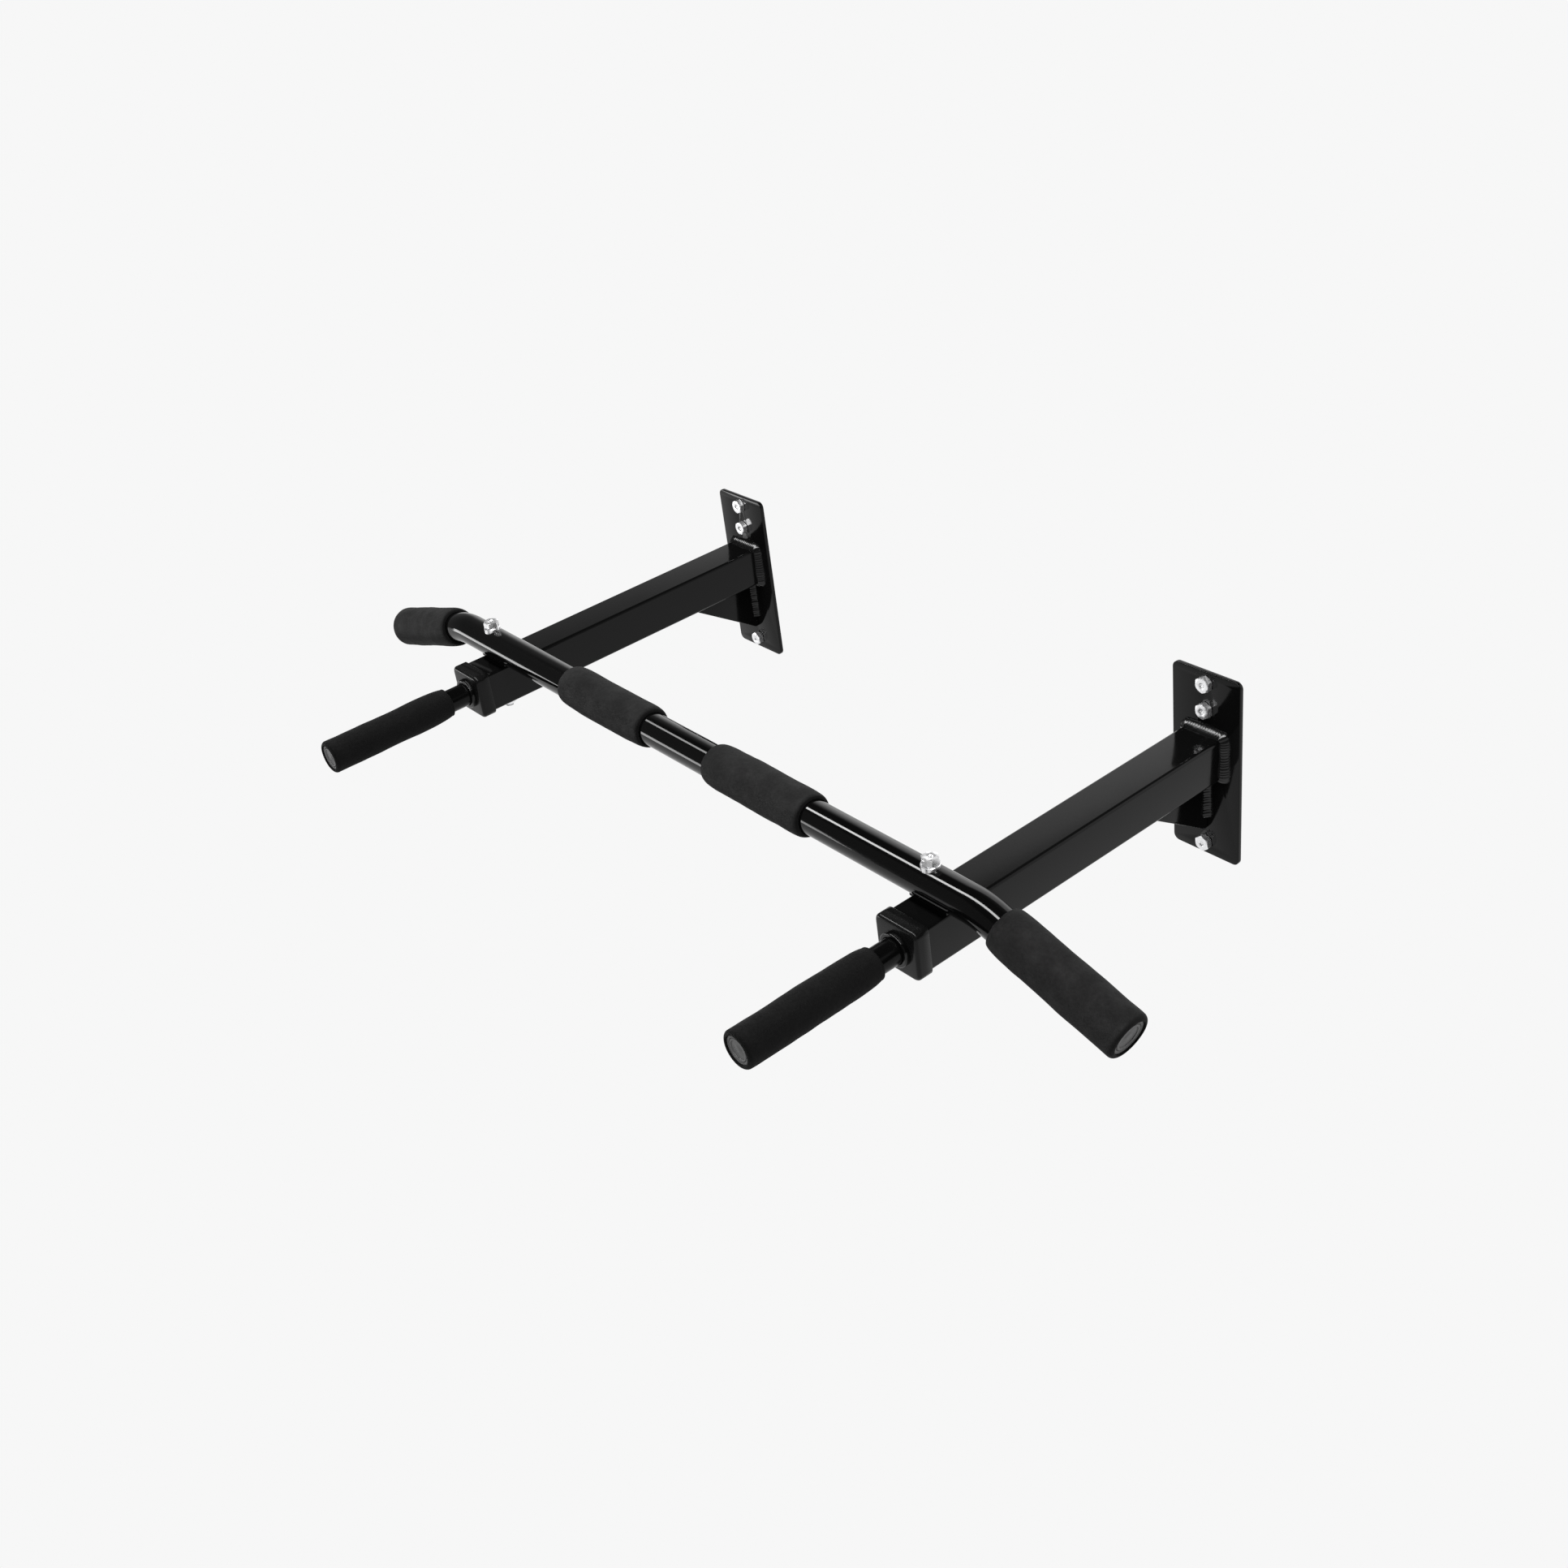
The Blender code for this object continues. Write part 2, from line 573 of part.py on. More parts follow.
def bar_bolt_set(side_name, side):
    """Bolt down through the bar, cradle and arm, with its washers and nut."""
    middle = place_at(side * ARM_X, BAR_Y, 0.0)
    washer_top = BAR_Z + BAR_RADIUS + SADDLE_WASHER_HEIGHT - GAP
    nut_top = -ARM_HALF - GAP - WASHER_THICKNESS - GAP
    nut_bottom = nut_top - NUT_HEIGHT
    head_base = washer_top + GAP
    hex_bolt(side_name + "_bar_bolt", middle @ place_at(z=head_base),
             head_base - nut_bottom + BOLT_TAIL)

    saddle_name = side_name + "_bar_saddle_washer"
    saddle_bottom = BAR_Z + BAR_RADIUS * SADDLE_SKIRT_SHARE
    saddle = add_object(saddle_name, cylinder_mesh(
        saddle_name, WASHER_RADIUS, washer_top - saddle_bottom),
        middle @ place_at(z=saddle_bottom), "zinc")
    seat_name = saddle_name + "_seat"
    cut(saddle, add_object(seat_name, cylinder_mesh(seat_name, BAR_RADIUS + GAP, 2 * ARM_SIZE),
                           along_bar(side, ARM_X - ARM_SIZE), cutter=True))
    drill(saddle, saddle_name + "_hole", BOLT_HOLE_RADIUS, (side * ARM_X, BAR_Y, BAR_Z),
          (0, 0, 1), 2 * BAR_RADIUS)

    washer_profile = [(WASHER_RADIUS, 0.0), (WASHER_RADIUS, -WASHER_THICKNESS),
                      (BOLT_HOLE_RADIUS, -WASHER_THICKNESS), (BOLT_HOLE_RADIUS, 0.0)]
    turned(side_name + "_bar_nut_washer", washer_profile, middle @ place_at(z=-ARM_HALF - GAP),
           "zinc")

    nut_name = side_name + "_bar_nut"
    nut = add_object(nut_name, cylinder_mesh(nut_name, HEX_ACROSS_FLATS / math.sqrt(3),
                                             NUT_HEIGHT, 6), middle @ place_at(z=nut_bottom), "zinc")
    drill(nut, nut_name + "_thread", BOLT_SHANK_RADIUS + GAP,
          (side * ARM_X, BAR_Y, nut_bottom - NUT_HEIGHT), (0, 0, 1), 3 * NUT_HEIGHT)


SIDES = (("left", -1), ("right", 1))
FINISHES = {
    "painted_steel": ((0.012, 0.012, 0.013), 0.16, 0.0),
    "black_plastic": ((0.020, 0.020, 0.021), 0.32, 0.0),
    "foam": ((0.022, 0.022, 0.023), 0.85, 0.0),
    "plug_plastic": ((0.120, 0.120, 0.122), 0.50, 0.0),
    "zinc": ((0.720, 0.720, 0.730), 0.28, 1.0),
}

clear_scene()
PARTS = make_collection("pull_up_bar")
CUTTERS = make_collection("cutters")

cross_bar()
for side_name, side in SIDES:
    wall_plate(side_name, side)
    arm(side_name, side)
    gusset(side_name, side)
    arm_weld(side_name, side)
    for face_name, face in (("inner", -side), ("outer", side)):
        gusset_weld(side_name, side, face_name, face)
    for height_name, height in WALL_BOLT_HEIGHTS.items():
        wall_bolt(side_name, side, height_name, height)

    cradle(side_name, side)
    bar_bolt_set(side_name, side)
    foam_grip(side_name + "_centre_grip", BAR_RADIUS, CENTRE_GRIP_LENGTH,
              along_bar(side, CENTRE_GRIP_START), holds_plug=False)
    foam_grip(side_name + "_end_grip", BAR_RADIUS, END_GRIP_LENGTH,
              along_bent_end(side, BENT_LENGTH - END_GRIP_LENGTH))
    end_plug(side_name + "_bar_end_plug", BAR_RADIUS, BAR_WALL,
             along_bent_end(side, BENT_LENGTH - PLUG_RECESS - PLUG_FLANGE))

    arm_end_plate(side_name, side)
    end_cap(side_name, side)
    handle_tube(side_name, side)
    handle_collar(side_name, side)
    foam_grip(side_name + "_handle_grip", HANDLE_RADIUS, HANDLE_GRIP_LENGTH,
              toward_front(side * ARM_X, HANDLE_TIP_Y + HANDLE_GRIP_LENGTH, 0.0))
    end_plug(side_name + "_handle_end_plug", HANDLE_RADIUS, HANDLE_WALL,
             toward_front(side * ARM_X, HANDLE_TIP_Y + PLUG_RECESS + PLUG_FLANGE, 0.0))
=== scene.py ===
"""Looks of the wall-mounted pull up bar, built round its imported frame.

Metres, in the frame's own axes: the wall is the plane Y = 0, the bar stands out
along -Y, X runs along the bar and Z is up.
"""
import math

import bmesh
import bpy
from mathutils import Matrix, Vector, noise


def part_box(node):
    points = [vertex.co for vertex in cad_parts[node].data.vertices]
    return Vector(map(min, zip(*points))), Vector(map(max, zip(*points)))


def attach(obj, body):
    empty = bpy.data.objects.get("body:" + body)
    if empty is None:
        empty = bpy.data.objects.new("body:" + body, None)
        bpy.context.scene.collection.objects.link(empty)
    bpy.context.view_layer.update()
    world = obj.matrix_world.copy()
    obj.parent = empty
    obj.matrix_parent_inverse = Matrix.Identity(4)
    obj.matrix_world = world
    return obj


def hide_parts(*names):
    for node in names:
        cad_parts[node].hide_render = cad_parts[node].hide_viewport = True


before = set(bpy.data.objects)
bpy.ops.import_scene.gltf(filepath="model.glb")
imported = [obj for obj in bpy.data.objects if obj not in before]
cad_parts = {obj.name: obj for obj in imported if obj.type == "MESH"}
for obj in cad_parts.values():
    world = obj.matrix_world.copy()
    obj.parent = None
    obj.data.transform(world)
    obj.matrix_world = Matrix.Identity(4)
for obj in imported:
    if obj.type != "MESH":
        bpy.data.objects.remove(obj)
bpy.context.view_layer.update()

SIDES = (("left", -1), ("right", 1))
BOLT_LEVELS = ("top", "middle", "bottom")
QUARTER = math.radians(90)
TO_FRONT = Matrix.Rotation(QUARTER, 4, "X")      # local Z to -Y

# The bent bar's own dimensions
BEND_X = 0.360                   # where its straight and bent axes meet
BEND_ANGLE = math.radians(17.2)
BEND_RADIUS = 0.080
BEND_STEPS = 24
STRAIGHT_STEPS = 12
TUBE_WALL = 0.002

# How finely round pieces and corners are drawn
ROUND_SIDES = 72
HEX_SIDES = 96                   # a multiple of six
CORNER_STEPS = 10

# Foam sleeves
END_FOAM_LENGTH = 0.1235
FOAM_SHOULDER = 0.0042           # the round of an open end
FOAM_LIP = 0.0005                # the small round at the tube
FOAM_FIT = 0.0001                # clear of the tube
FOAM_STEP = 0.0016               # between rings along the wall
FOAM_END_SHADE_REACH = 0.0030           # how far the painted shade at a sleeve's end reaches
FOAM_LUMPS = ((26.0, 0.00075), (95.0, 0.00020))    # cycles a metre, height
GRIP_TAPER = (0.0014, 0.007)     # how far a grip's end is drawn in, and over what length
HANDLE_TAPER = (0.0024, 0.009)

# End plugs
PLUG_SHARE = 0.925               # of the CAD plug's radius, clear of the foam's soft rim
PLUG_SEAT_DEPTH = 0.0036         # how deep a plug's flange sits in the foam's end
PLUG_SEAT_FIT = 0.0002
PLUG_SEAT_RIM = 0.0003           # the flat of foam left round a plug's seat
PLUG_THICKNESS = 0.0020
PLUG_EDGE = 0.0005
PLUG_STEM = 0.010
PLUG_STEM_FIT = 0.0003           # clear of the tube's bore
PLUG_GROOVE = 0.0007             # the depth of its groove and dish

# Plates, arms and gussets
PLATE_EDGE = 0.0006
PLATE_CORNER = 0.006
PLATE_HOLE = 0.0045
SHEET_EDGE = 0.0004
ARM_CORNER = 0.0030
GUSSET_TIP = 0.004

# Weld beads
WELD_PITCH = 0.0026              # one ripple
WELD_STEP = 0.00035              # between a bead's sections
WELD_SIDES = 8
WELD_FADE = 5                    # sections over which a bead's end fades in
ARM_WELD_LEG = 0.0078
ARM_WELD_CORNER = 0.0035
GUSSET_WELD_LEG = 0.0060
WELD_CLEAR = 0.0062              # from the gusset's face to the end of the arm's bead

# End caps and collars
CAP_CORNER = 0.0060
CAP_EDGE = 0.0030
CAP_FLOOR = 0.0026               # the thickness of its front
CAP_FIT = 0.0002                 # clear of the arm
CAP_HOLE_FIT = 0.0003            # clear of the handle
CAP_HOLE_EDGE = 0.0006
CAP_CORNER_STEPS = 11
CAP_EDGE_STEPS = 7
COLLAR_EDGE = 0.0012
COLLAR_FIT = 0.0002

# Bolts, nuts and washers
SHANK_RADIUS = 0.0039
THREAD_RADIUS = 0.0040
THREAD_PITCH = 0.00125
THREAD_ROOT = 0.88               # of the thread's radius
THREAD_END = -0.045              # where the bar bolt's plain shank turns to thread
HEX_FACE = 0.93                  # a chamfered face's radius, of half the width across flats
HEAD_CHAMFER = math.tan(math.radians(32))
DIMPLE_RADIUS = 0.0022
DIMPLE_DEPTH = 0.0011
NUT_MOUTH = 0.0004               # the countersink of its bore
SEAT_GAP = 0.0001
WASHER_HOLE = 0.0045
WASHER_EDGE = 0.0003
SADDLE_EDGE = 0.0006

# Camera, found from the object's straight edges
CAMERA_PLACE = Vector((1.1388, -1.0333, 0.8257))
CAMERA_AZIMUTH = math.radians(54.4756)
CAMERA_ELEVATION = math.radians(32.0663)
CAMERA_ROLL = math.radians(-8.3069)
CAMERA_LENS = 41.46              # mm, on a 36 mm sensor
CAMERA_SENSOR = 36.0

FLOOR_Z = -2.1
FLOOR_HALF = 60.0
FLOOR_FRONT_Y = -6.1             # the floor ends here, so the bar mirrors a darker room beyond
STUDIO_WHITE = 0.93              # what the camera sees behind the object
ROOM_LIGHT = 1.5


# Places read from the frame

def middle(node):
    """The centre of a CAD node's box."""
    low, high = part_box(node)
    return (Vector(low) + Vector(high)) / 2


def extent(node):
    """The sizes of a CAD node's box."""
    low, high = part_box(node)
    return Vector(high) - Vector(low)


BAR_RADIUS = extent("cross_bar").y / 2
BAR_Y = middle("cross_bar").y
BAR_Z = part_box("cross_bar")[1][2] - BAR_RADIUS
BAR_HALF_LENGTH = extent("cross_bar").x / 2
ARM_X = middle("right_arm").x
ARM_SIZE = extent("right_arm").x
HANDLE_RADIUS = extent("right_handle_tube").x / 2
COLLAR_RADIUS = extent("right_handle_collar").x / 2
PLATE_THICKNESS = extent("right_wall_plate").y


# Mesh helpers

def new_piece(name, data, place=None):
    """Link a mesh or curve as an object, placed by a matrix."""
    piece = bpy.data.objects.new(name, data)
    bpy.context.scene.collection.objects.link(piece)
    if place is not None:
        piece.matrix_world = place
    bpy.context.view_layer.update()
    return piece


def finish_piece(piece, material, nodes, smooth_angle=35):
    """Give a piece its material and its body, and hide the CAD nodes it stands for."""
    piece.data.materials.clear()
    piece.data.materials.append(material)
    piece.data.shade_smooth()
    piece.data.set_sharp_from_angle(angle=math.radians(smooth_angle))
    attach(piece, "root")
    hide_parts(*nodes)


def loft(name, rings, closed=False, place=None):
    """Skin a row of point rings: joined last to first if closed, else capped at its ends."""
    work = bmesh.new()
    rows = [[work.verts.new(point) for point in ring] for ring in rings]
    count = len(rows[0])
    pairs = list(zip(rows, rows[1:]))
    if closed:
        pairs.append((rows[-1], rows[0]))
    else:
        work.faces.new(rows[0][::-1])
        work.faces.new(rows[-1])
    for one, two in pairs:
        for index in range(count):
            after = (index + 1) % count
            work.faces.new((one[index], one[after], two[after], two[index]))
    bmesh.ops.recalc_face_normals(work, faces=work.faces)
    data = bpy.data.meshes.new(name)
    work.to_mesh(data)
    work.free()
    return new_piece(name, data, place)


def circle(radius, height, sides=ROUND_SIDES):
    """A ring of points about local Z."""
    return [Vector((radius * math.cos(math.tau * side / sides),
                    radius * math.sin(math.tau * side / sides), height))
            for side in range(sides)]


def turned(name, profile, place, closed=True):
    """A solid turned about local Z: a ring if its profile is closed, else capped at its ends."""
    return loft(name, [circle(radius, height) for radius, height in profile], closed, place)


def arc_points(centre, radius, start, end, steps):
    """Points on an arc in a profile plane, angles in degrees."""
    points = []
    for step in range(steps + 1):
        angle = math.radians(start + (end - start) * step / steps)
        points.append((centre[0] + radius * math.cos(angle),
                       centre[1] + radius * math.sin(angle)))
    return points


def rounded_rectangle(width, height, corner, centre=(0.0, 0.0), steps=CORNER_STEPS):
    """The outline of a rectangle with round corners, anticlockwise."""
    outline = []
    for quarter, (sign_x, sign_y) in enumerate(((1, 1), (-1, 1), (-1, -1), (1, -1))):
        corner_middle = (centre[0] + sign_x * (width / 2 - corner),
                         centre[1] + sign_y * (height / 2 - corner))
        outline += arc_points(corner_middle, corner, 90 * quarter, 90 * quarter + 90, steps)
    return outline


def sheet_piece(name, outlines, thickness, edge, place):
    """A flat plate with softened edges: the first outline is its edge, the rest holes."""
    data = bpy.data.curves.new(name, "CURVE")
    data.dimensions = "2D"
    data.fill_mode = "BOTH"
    data.extrude = thickness / 2 - edge
    data.bevel_depth = edge
    data.bevel_resolution = 2
    data.offset = -edge
    for outline in outlines:
        spline = data.splines.new("POLY")
        spline.points.add(len(outline) - 1)
        for point, (x, y) in zip(spline.points, outline):
            point.co = (x, y, 0.0, 1.0)
        spline.use_cyclic_u = True
    curve = new_piece(name + "_outline", data, place)
    evaluated = curve.evaluated_get(bpy.context.evaluated_depsgraph_get())
    mesh = bpy.data.meshes.new_from_object(evaluated)
    work = bmesh.new()
    work.from_mesh(mesh)
    bmesh.ops.remove_doubles(work, verts=work.verts, dist=0.00001)
    bmesh.ops.recalc_face_normals(work, faces=work.faces)
    work.to_mesh(mesh)
    work.free()
    bpy.data.objects.remove(curve, do_unlink=True)
    return new_piece(name, mesh, place)


def at(x=0.0, y=0.0, z=0.0):
    """A location matrix."""
    return Matrix.Translation((x, y, z))


# Material helpers

def colour_ramp(tree, source, stops):
    """A ramp from (position, value) or (position, colour) stops."""
    node = tree.nodes.new("ShaderNodeValToRGB")
    elements = node.color_ramp.elements
    while len(elements) < len(stops):
        elements.new(0.5)
    for element, (position, value) in zip(elements, stops):
        element.position = position
        element.color = (value, value, value, 1.0) if isinstance(value, float) else (*value, 1.0)
    tree.links.new(source, node.inputs["Fac"])
    return node.outputs["Color"]


class Nodes:
    """A material's node tree, with short calls to add and link nodes."""

    def __init__(self, name):
        self.material = bpy.data.materials.new(name)
        self.material.use_nodes = True
        self.tree = self.material.node_tree
        self.shader = self.tree.nodes["Principled BSDF"]
        self.place = self.add("ShaderNodeTexCoord").outputs["Object"]

    def add(self, kind, **settings):
        """Add a node and set its inputs by name, or its own properties."""
        node = self.tree.nodes.new(kind)
        for key, value in settings.items():
            label = key.replace("_", " ").title()
            if label in node.inputs:
                node.inputs[label].default_value = value
            else:
                setattr(node, key, value)
        return node

    def link(self, output, target):
        """Link an output to an input socket."""
        self.tree.links.new(output, target)

    def noise(self, scale, detail=4.0, roughness=0.55, stretch=None):
        """Fractal noise at a scale in cycles a metre, stretched along an axis if asked."""
        texture = self.add("ShaderNodeTexNoise", scale=scale, detail=detail, roughness=roughness)
        if stretch is None:
            self.link(self.place, texture.inputs["Vector"])
        else:
            mapping = self.add("ShaderNodeMapping", scale=stretch)
            self.link(self.place, mapping.inputs["Vector"])
            self.link(mapping.outputs["Vector"], texture.inputs["Vector"])
        return texture.outputs["Fac"]

    def cells(self, scale):
        """Cell noise, for pores."""
        texture = self.add("ShaderNodeTexVoronoi", scale=scale)
        self.link(self.place, texture.inputs["Vector"])
        return texture.outputs["Distance"]

    def ramp(self, source, stops):
        """A ramp of values or colours over a signal."""
        return colour_ramp(self.tree, source, stops)

    def bump(self, height, distance, strength, after=None):
        """Raise the surface by a height signal, on top of an earlier bump."""
        node = self.add("ShaderNodeBump", distance=distance, strength=strength)
        self.link(height, node.inputs["Height"])
        if after is not None:
            self.link(after, node.inputs["Normal"])
        return node.outputs["Normal"]

    def set(self, **values):
        """Set constants on the shader's own sockets."""
        for key, value in values.items():
            self.shader.inputs[key.replace("_", " ")].default_value = value

    def paint(self, colour, roughness, normal):
        """Link what varies over the surface to the shader, and hand back the material."""
        self.link(colour, self.shader.inputs["Base Color"])
        self.link(roughness, self.shader.inputs["Roughness"])
        self.link(normal, self.shader.inputs["Normal"])
        return self.material


def gloss_paint(name, specular, base, rough, peel):
    """Black enamel: faint orange peel, uneven gloss, dust and fine rub marks."""
    nodes = Nodes(name)
    dust = nodes.noise(1400.0, detail=2.0, roughness=0.7)
    colour = nodes.ramp(dust, [(0.70, base), (0.80, base * 2.2)])
    blotches = nodes.noise(38.0, detail=5.0, roughness=0.6)
    gloss = nodes.ramp(blotches, [(0.30, rough * 0.8), (0.75, rough * 1.35)])
    waves = nodes.noise(260.0, detail=3.0, roughness=0.5)
    normal = nodes.bump(waves, peel, 0.35)
    rubs = nodes.noise(2600.0, detail=2.0, roughness=0.6, stretch=(0.04, 1.0, 1.0))
    normal = nodes.bump(rubs, 0.00002, 0.12, normal)
    nodes.set(Specular_IOR_Level=specular)
    return nodes.paint(colour, gloss, normal)


def foam(name, base, pore_size):
    """Closed-cell foam: tiny pores, a soft mottled skin, and painted shade darkening its ends."""
    nodes = Nodes(name)
    # An attribute marks each end of a sleeve, where the colour is darkened as painted shade
    painted_end_shade = nodes.add("ShaderNodeAttribute", attribute_name="painted_end_shade").outputs["Fac"]
    mottle = nodes.ramp(nodes.noise(48.0, detail=7.0, roughness=0.70),
                        [(0.32, base * 0.55), (0.50, base), (0.68, base * 1.75)])
    rough = nodes.ramp(nodes.noise(420.0, detail=3.0), [(0.3, 0.80), (0.7, 0.96)])
    pores = nodes.ramp(nodes.cells(1.0 / pore_size), [(0.05, 0.0), (0.45, 1.0)])
    normal = nodes.bump(pores, 0.00015, 0.30)
    grain = nodes.noise(420.0, detail=4.0, roughness=0.6)
    normal = nodes.bump(grain, 0.0003, 0.16, normal)
    swells = nodes.noise(55.0, detail=3.0, roughness=0.5)
    normal = nodes.bump(swells, 0.0020, 0.60, normal)
    nodes.set(Specular_IOR_Level=0.09, Sheen_Weight=0.02, Sheen_Roughness=0.6)
    # Painted shade: toward the sleeve's ends the foam's colour falls to a tenth
    shade = nodes.add("ShaderNodeMix", data_type="RGBA")
    shade.inputs["B"].default_value = (base * 0.10, base * 0.10, base * 0.10, 1.0)
    nodes.link(painted_end_shade, shade.inputs["Factor"])
    nodes.link(mottle, shade.inputs["A"])
    return nodes.paint(shade.outputs["Result"], rough, normal)


def moulded_plastic(name, base, rough, grain, specular):
    """Moulded plastic: fine grain and slightly uneven sheen."""
    nodes = Nodes(name)
    colour = nodes.ramp(nodes.noise(160.0), [(0.3, base * 0.88), (0.7, base * 1.12)])
    gloss = nodes.ramp(nodes.noise(240.0), [(0.3, rough * 0.85), (0.7, rough * 1.15)])
    normal = nodes.bump(nodes.noise(700.0, detail=2.0, roughness=0.5), grain, 0.25)
    nodes.set(Specular_IOR_Level=specular)
    return nodes.paint(colour, gloss, normal)


def zinc_plate(name):
    """Bright zinc: fine drawn marks, faint cloudy tarnish."""
    nodes = Nodes(name)
    colour = nodes.ramp(nodes.noise(420.0), [(0.3, (0.76, 0.76, 0.77)),
                                             (0.7, (0.90, 0.90, 0.91))])
    gloss = nodes.ramp(nodes.noise(700.0), [(0.3, 0.22), (0.7, 0.34)])
    marks = nodes.noise(1600.0, detail=2.0, roughness=0.6, stretch=(1.0, 1.0, 0.2))
    normal = nodes.bump(marks, 0.00003, 0.2)
    nodes.set(Metallic=0.94)
    return nodes.paint(colour, gloss, normal)


BAR_PAINT = gloss_paint("bar_enamel", specular=0.25, base=0.0010, rough=0.075, peel=0.00002)
# Painted shade: a duller copy of the bar enamel for the handle tube, standing in for the shade the
# foam and cap cast on it
HANDLE_SHADED_PAINT = gloss_paint("handle_enamel_shaded", specular=0.13, base=0.0010, rough=0.180, peel=0.00003)
FRAME_PAINT = gloss_paint("frame_enamel", specular=0.17, base=0.0016, rough=0.110, peel=0.00003)
PLATE_PAINT = gloss_paint("plate_enamel", specular=0.16, base=0.0016, rough=0.100, peel=0.00003)
WELD_PAINT = gloss_paint("weld_enamel", specular=0.26, base=0.0020, rough=0.160, peel=0.00010)
GRIP_FOAM = foam("grip_foam", base=0.0046, pore_size=0.0007)
HANDLE_FOAM = foam("handle_foam", base=0.0005, pore_size=0.0006)
CAP_PLASTIC = moulded_plastic("cap_plastic", base=0.0025, rough=0.24, grain=0.00001, specular=0.14)
PLUG_PLASTIC = moulded_plastic("plug_plastic", base=0.0590, rough=0.50, grain=0.00003, specular=0.40)
ZINC = zinc_plate("zinc_plate")


# The round bar and its grips

def bar_route():
    """Points along the bar's axis and its slope at each, bent down at both ends."""
    bend_start = BEND_X - BEND_RADIUS * math.tan(BEND_ANGLE / 2)
    half = []
    for step in range(STRAIGHT_STEPS + 1):
        half.append((Vector((bend_start * step / STRAIGHT_STEPS, BAR_Y, BAR_Z)), 0.0))
    for step in range(1, BEND_STEPS + 1):
        angle = BEND_ANGLE * step / BEND_STEPS
        x = bend_start + BEND_RADIUS * math.sin(angle)
        z = BAR_Z - BEND_RADIUS * (1 - math.cos(angle))
        half.append((Vector((x, BAR_Y, z)), angle))
    rest = BAR_HALF_LENGTH - BAR_RADIUS * math.sin(BEND_ANGLE) - half[-1][0].x
    rest /= math.cos(BEND_ANGLE)
    along = Vector((math.cos(BEND_ANGLE), 0.0, -math.sin(BEND_ANGLE)))
    half.append((half[-1][0] + along * rest, BEND_ANGLE))
    mirrored = [(Vector((-place.x, place.y, place.z)), -angle) for place, angle in half[:0:-1]]
    return mirrored + half


def bar_ring(place, angle, radius):
    """A ring square to the bar's axis where it slopes down by an angle."""
    up = Vector((math.sin(angle), 0.0, math.cos(angle)))
    out = Vector((0.0, 1.0, 0.0))
    return [place + radius * (math.cos(math.tau * side / ROUND_SIDES) * out
                              + math.sin(math.tau * side / ROUND_SIDES) * up)
            for side in range(ROUND_SIDES)]


def make_bar():
    """The bent tube, hollow and open under its plugs."""
    route = bar_route()
    rings = [bar_ring(place, angle, BAR_RADIUS) for place, angle in route]
    rings += [bar_ring(place, angle, BAR_RADIUS - TUBE_WALL) for place, angle in reversed(route)]
    bar = loft("bent_cross_bar", rings, closed=True)
    finish_piece(bar, BAR_PAINT, ["cross_bar"])


def along_bar(side, node):
    """The frame of a sleeve on the straight bar: local Z outward from its inner end."""
    low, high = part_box(node)
    inner = low[0] if side > 0 else high[0]
    return at(inner, BAR_Y, BAR_Z) @ Matrix.Rotation(side * QUARTER, 4, "Y")


def along_end(side, distance):
    """The frame on a bent end at a distance past the bend, local Z to the tip."""
    x = BEND_X + distance * math.cos(BEND_ANGLE)
    z = BAR_Z - distance * math.sin(BEND_ANGLE)
    return at(side * x, BAR_Y, z) @ Matrix.Rotation(side * (QUARTER + BEND_ANGLE), 4, "Y")


def sleeve_profile(tube_radius, outer, length, plug_seat):
    """A sleeve's (radius, height) outline: round shoulders, and a seat if a plug closes its end."""
    tip_round = outer - plug_seat - PLUG_SEAT_RIM if plug_seat else FOAM_SHOULDER
    inner = tube_radius + FOAM_FIT
    profile = [(inner, 0.0006)]
    profile += arc_points((inner + FOAM_LIP, FOAM_LIP), FOAM_LIP, 180, 270, 3)
    profile += arc_points((outer - FOAM_SHOULDER, FOAM_SHOULDER), FOAM_SHOULDER, 270, 360, 8)
    steps = int(length / FOAM_STEP)
    for step in range(1, steps):
        profile.append((outer, FOAM_SHOULDER + (length - FOAM_SHOULDER - tip_round) * step / steps))
    profile += arc_points((outer - tip_round, length - tip_round), tip_round, 0, 90, 8)
    if plug_seat:
        floor = length - PLUG_SEAT_DEPTH
        profile += [(plug_seat, length - 0.0002), (plug_seat, floor), (inner, floor)]
    else:
        profile += arc_points((inner + FOAM_LIP, length - FOAM_LIP), FOAM_LIP, 90, 180, 3)
    return profile


def foam_sleeve(name, tube_radius, outer, length, place, material, node, seed, taper,
                plug_seat=None):
    """A foam sleeve with a slightly lumpy wall, its open ends drawn in by a taper."""
    shift = Vector((seed * 3.7, seed * 1.3, seed * 2.1))
    depth, reach = taper
    rings = []
    painted_end_shade = []
    for radius, height in sleeve_profile(tube_radius, outer, length, plug_seat):
        ring = circle(radius, height)
        from_end = min(height, length - height)
        # Painted shade: how far each ring's colour is darkened, rising toward the sleeve's ends
        painted_end_shade += [max(0.0, min(1.0, 1.15 - from_end / FOAM_END_SHADE_REACH))] * ROUND_SIDES
        on_wall = max(0.0, (radius - tube_radius) / (outer - tube_radius) - 0.6) / 0.4
        pull = depth * math.exp(-height / reach)
        if plug_seat is None:
            pull += depth * math.exp(-(length - height) / reach)
        for point in ring:
            lump = sum(rise * noise.noise(point * cycles + shift) for cycles, rise in FOAM_LUMPS)
            scale = (radius + on_wall * (lump - pull)) / radius
            point.x *= scale
            point.y *= scale
        rings.append(ring)
    grip = loft(name, rings, closed=True, place=place)
    mark = grip.data.attributes.new("painted_end_shade", "FLOAT", "POINT")
    mark.data.foreach_set("value", painted_end_shade)
    finish_piece(grip, material, [node], smooth_angle=50)


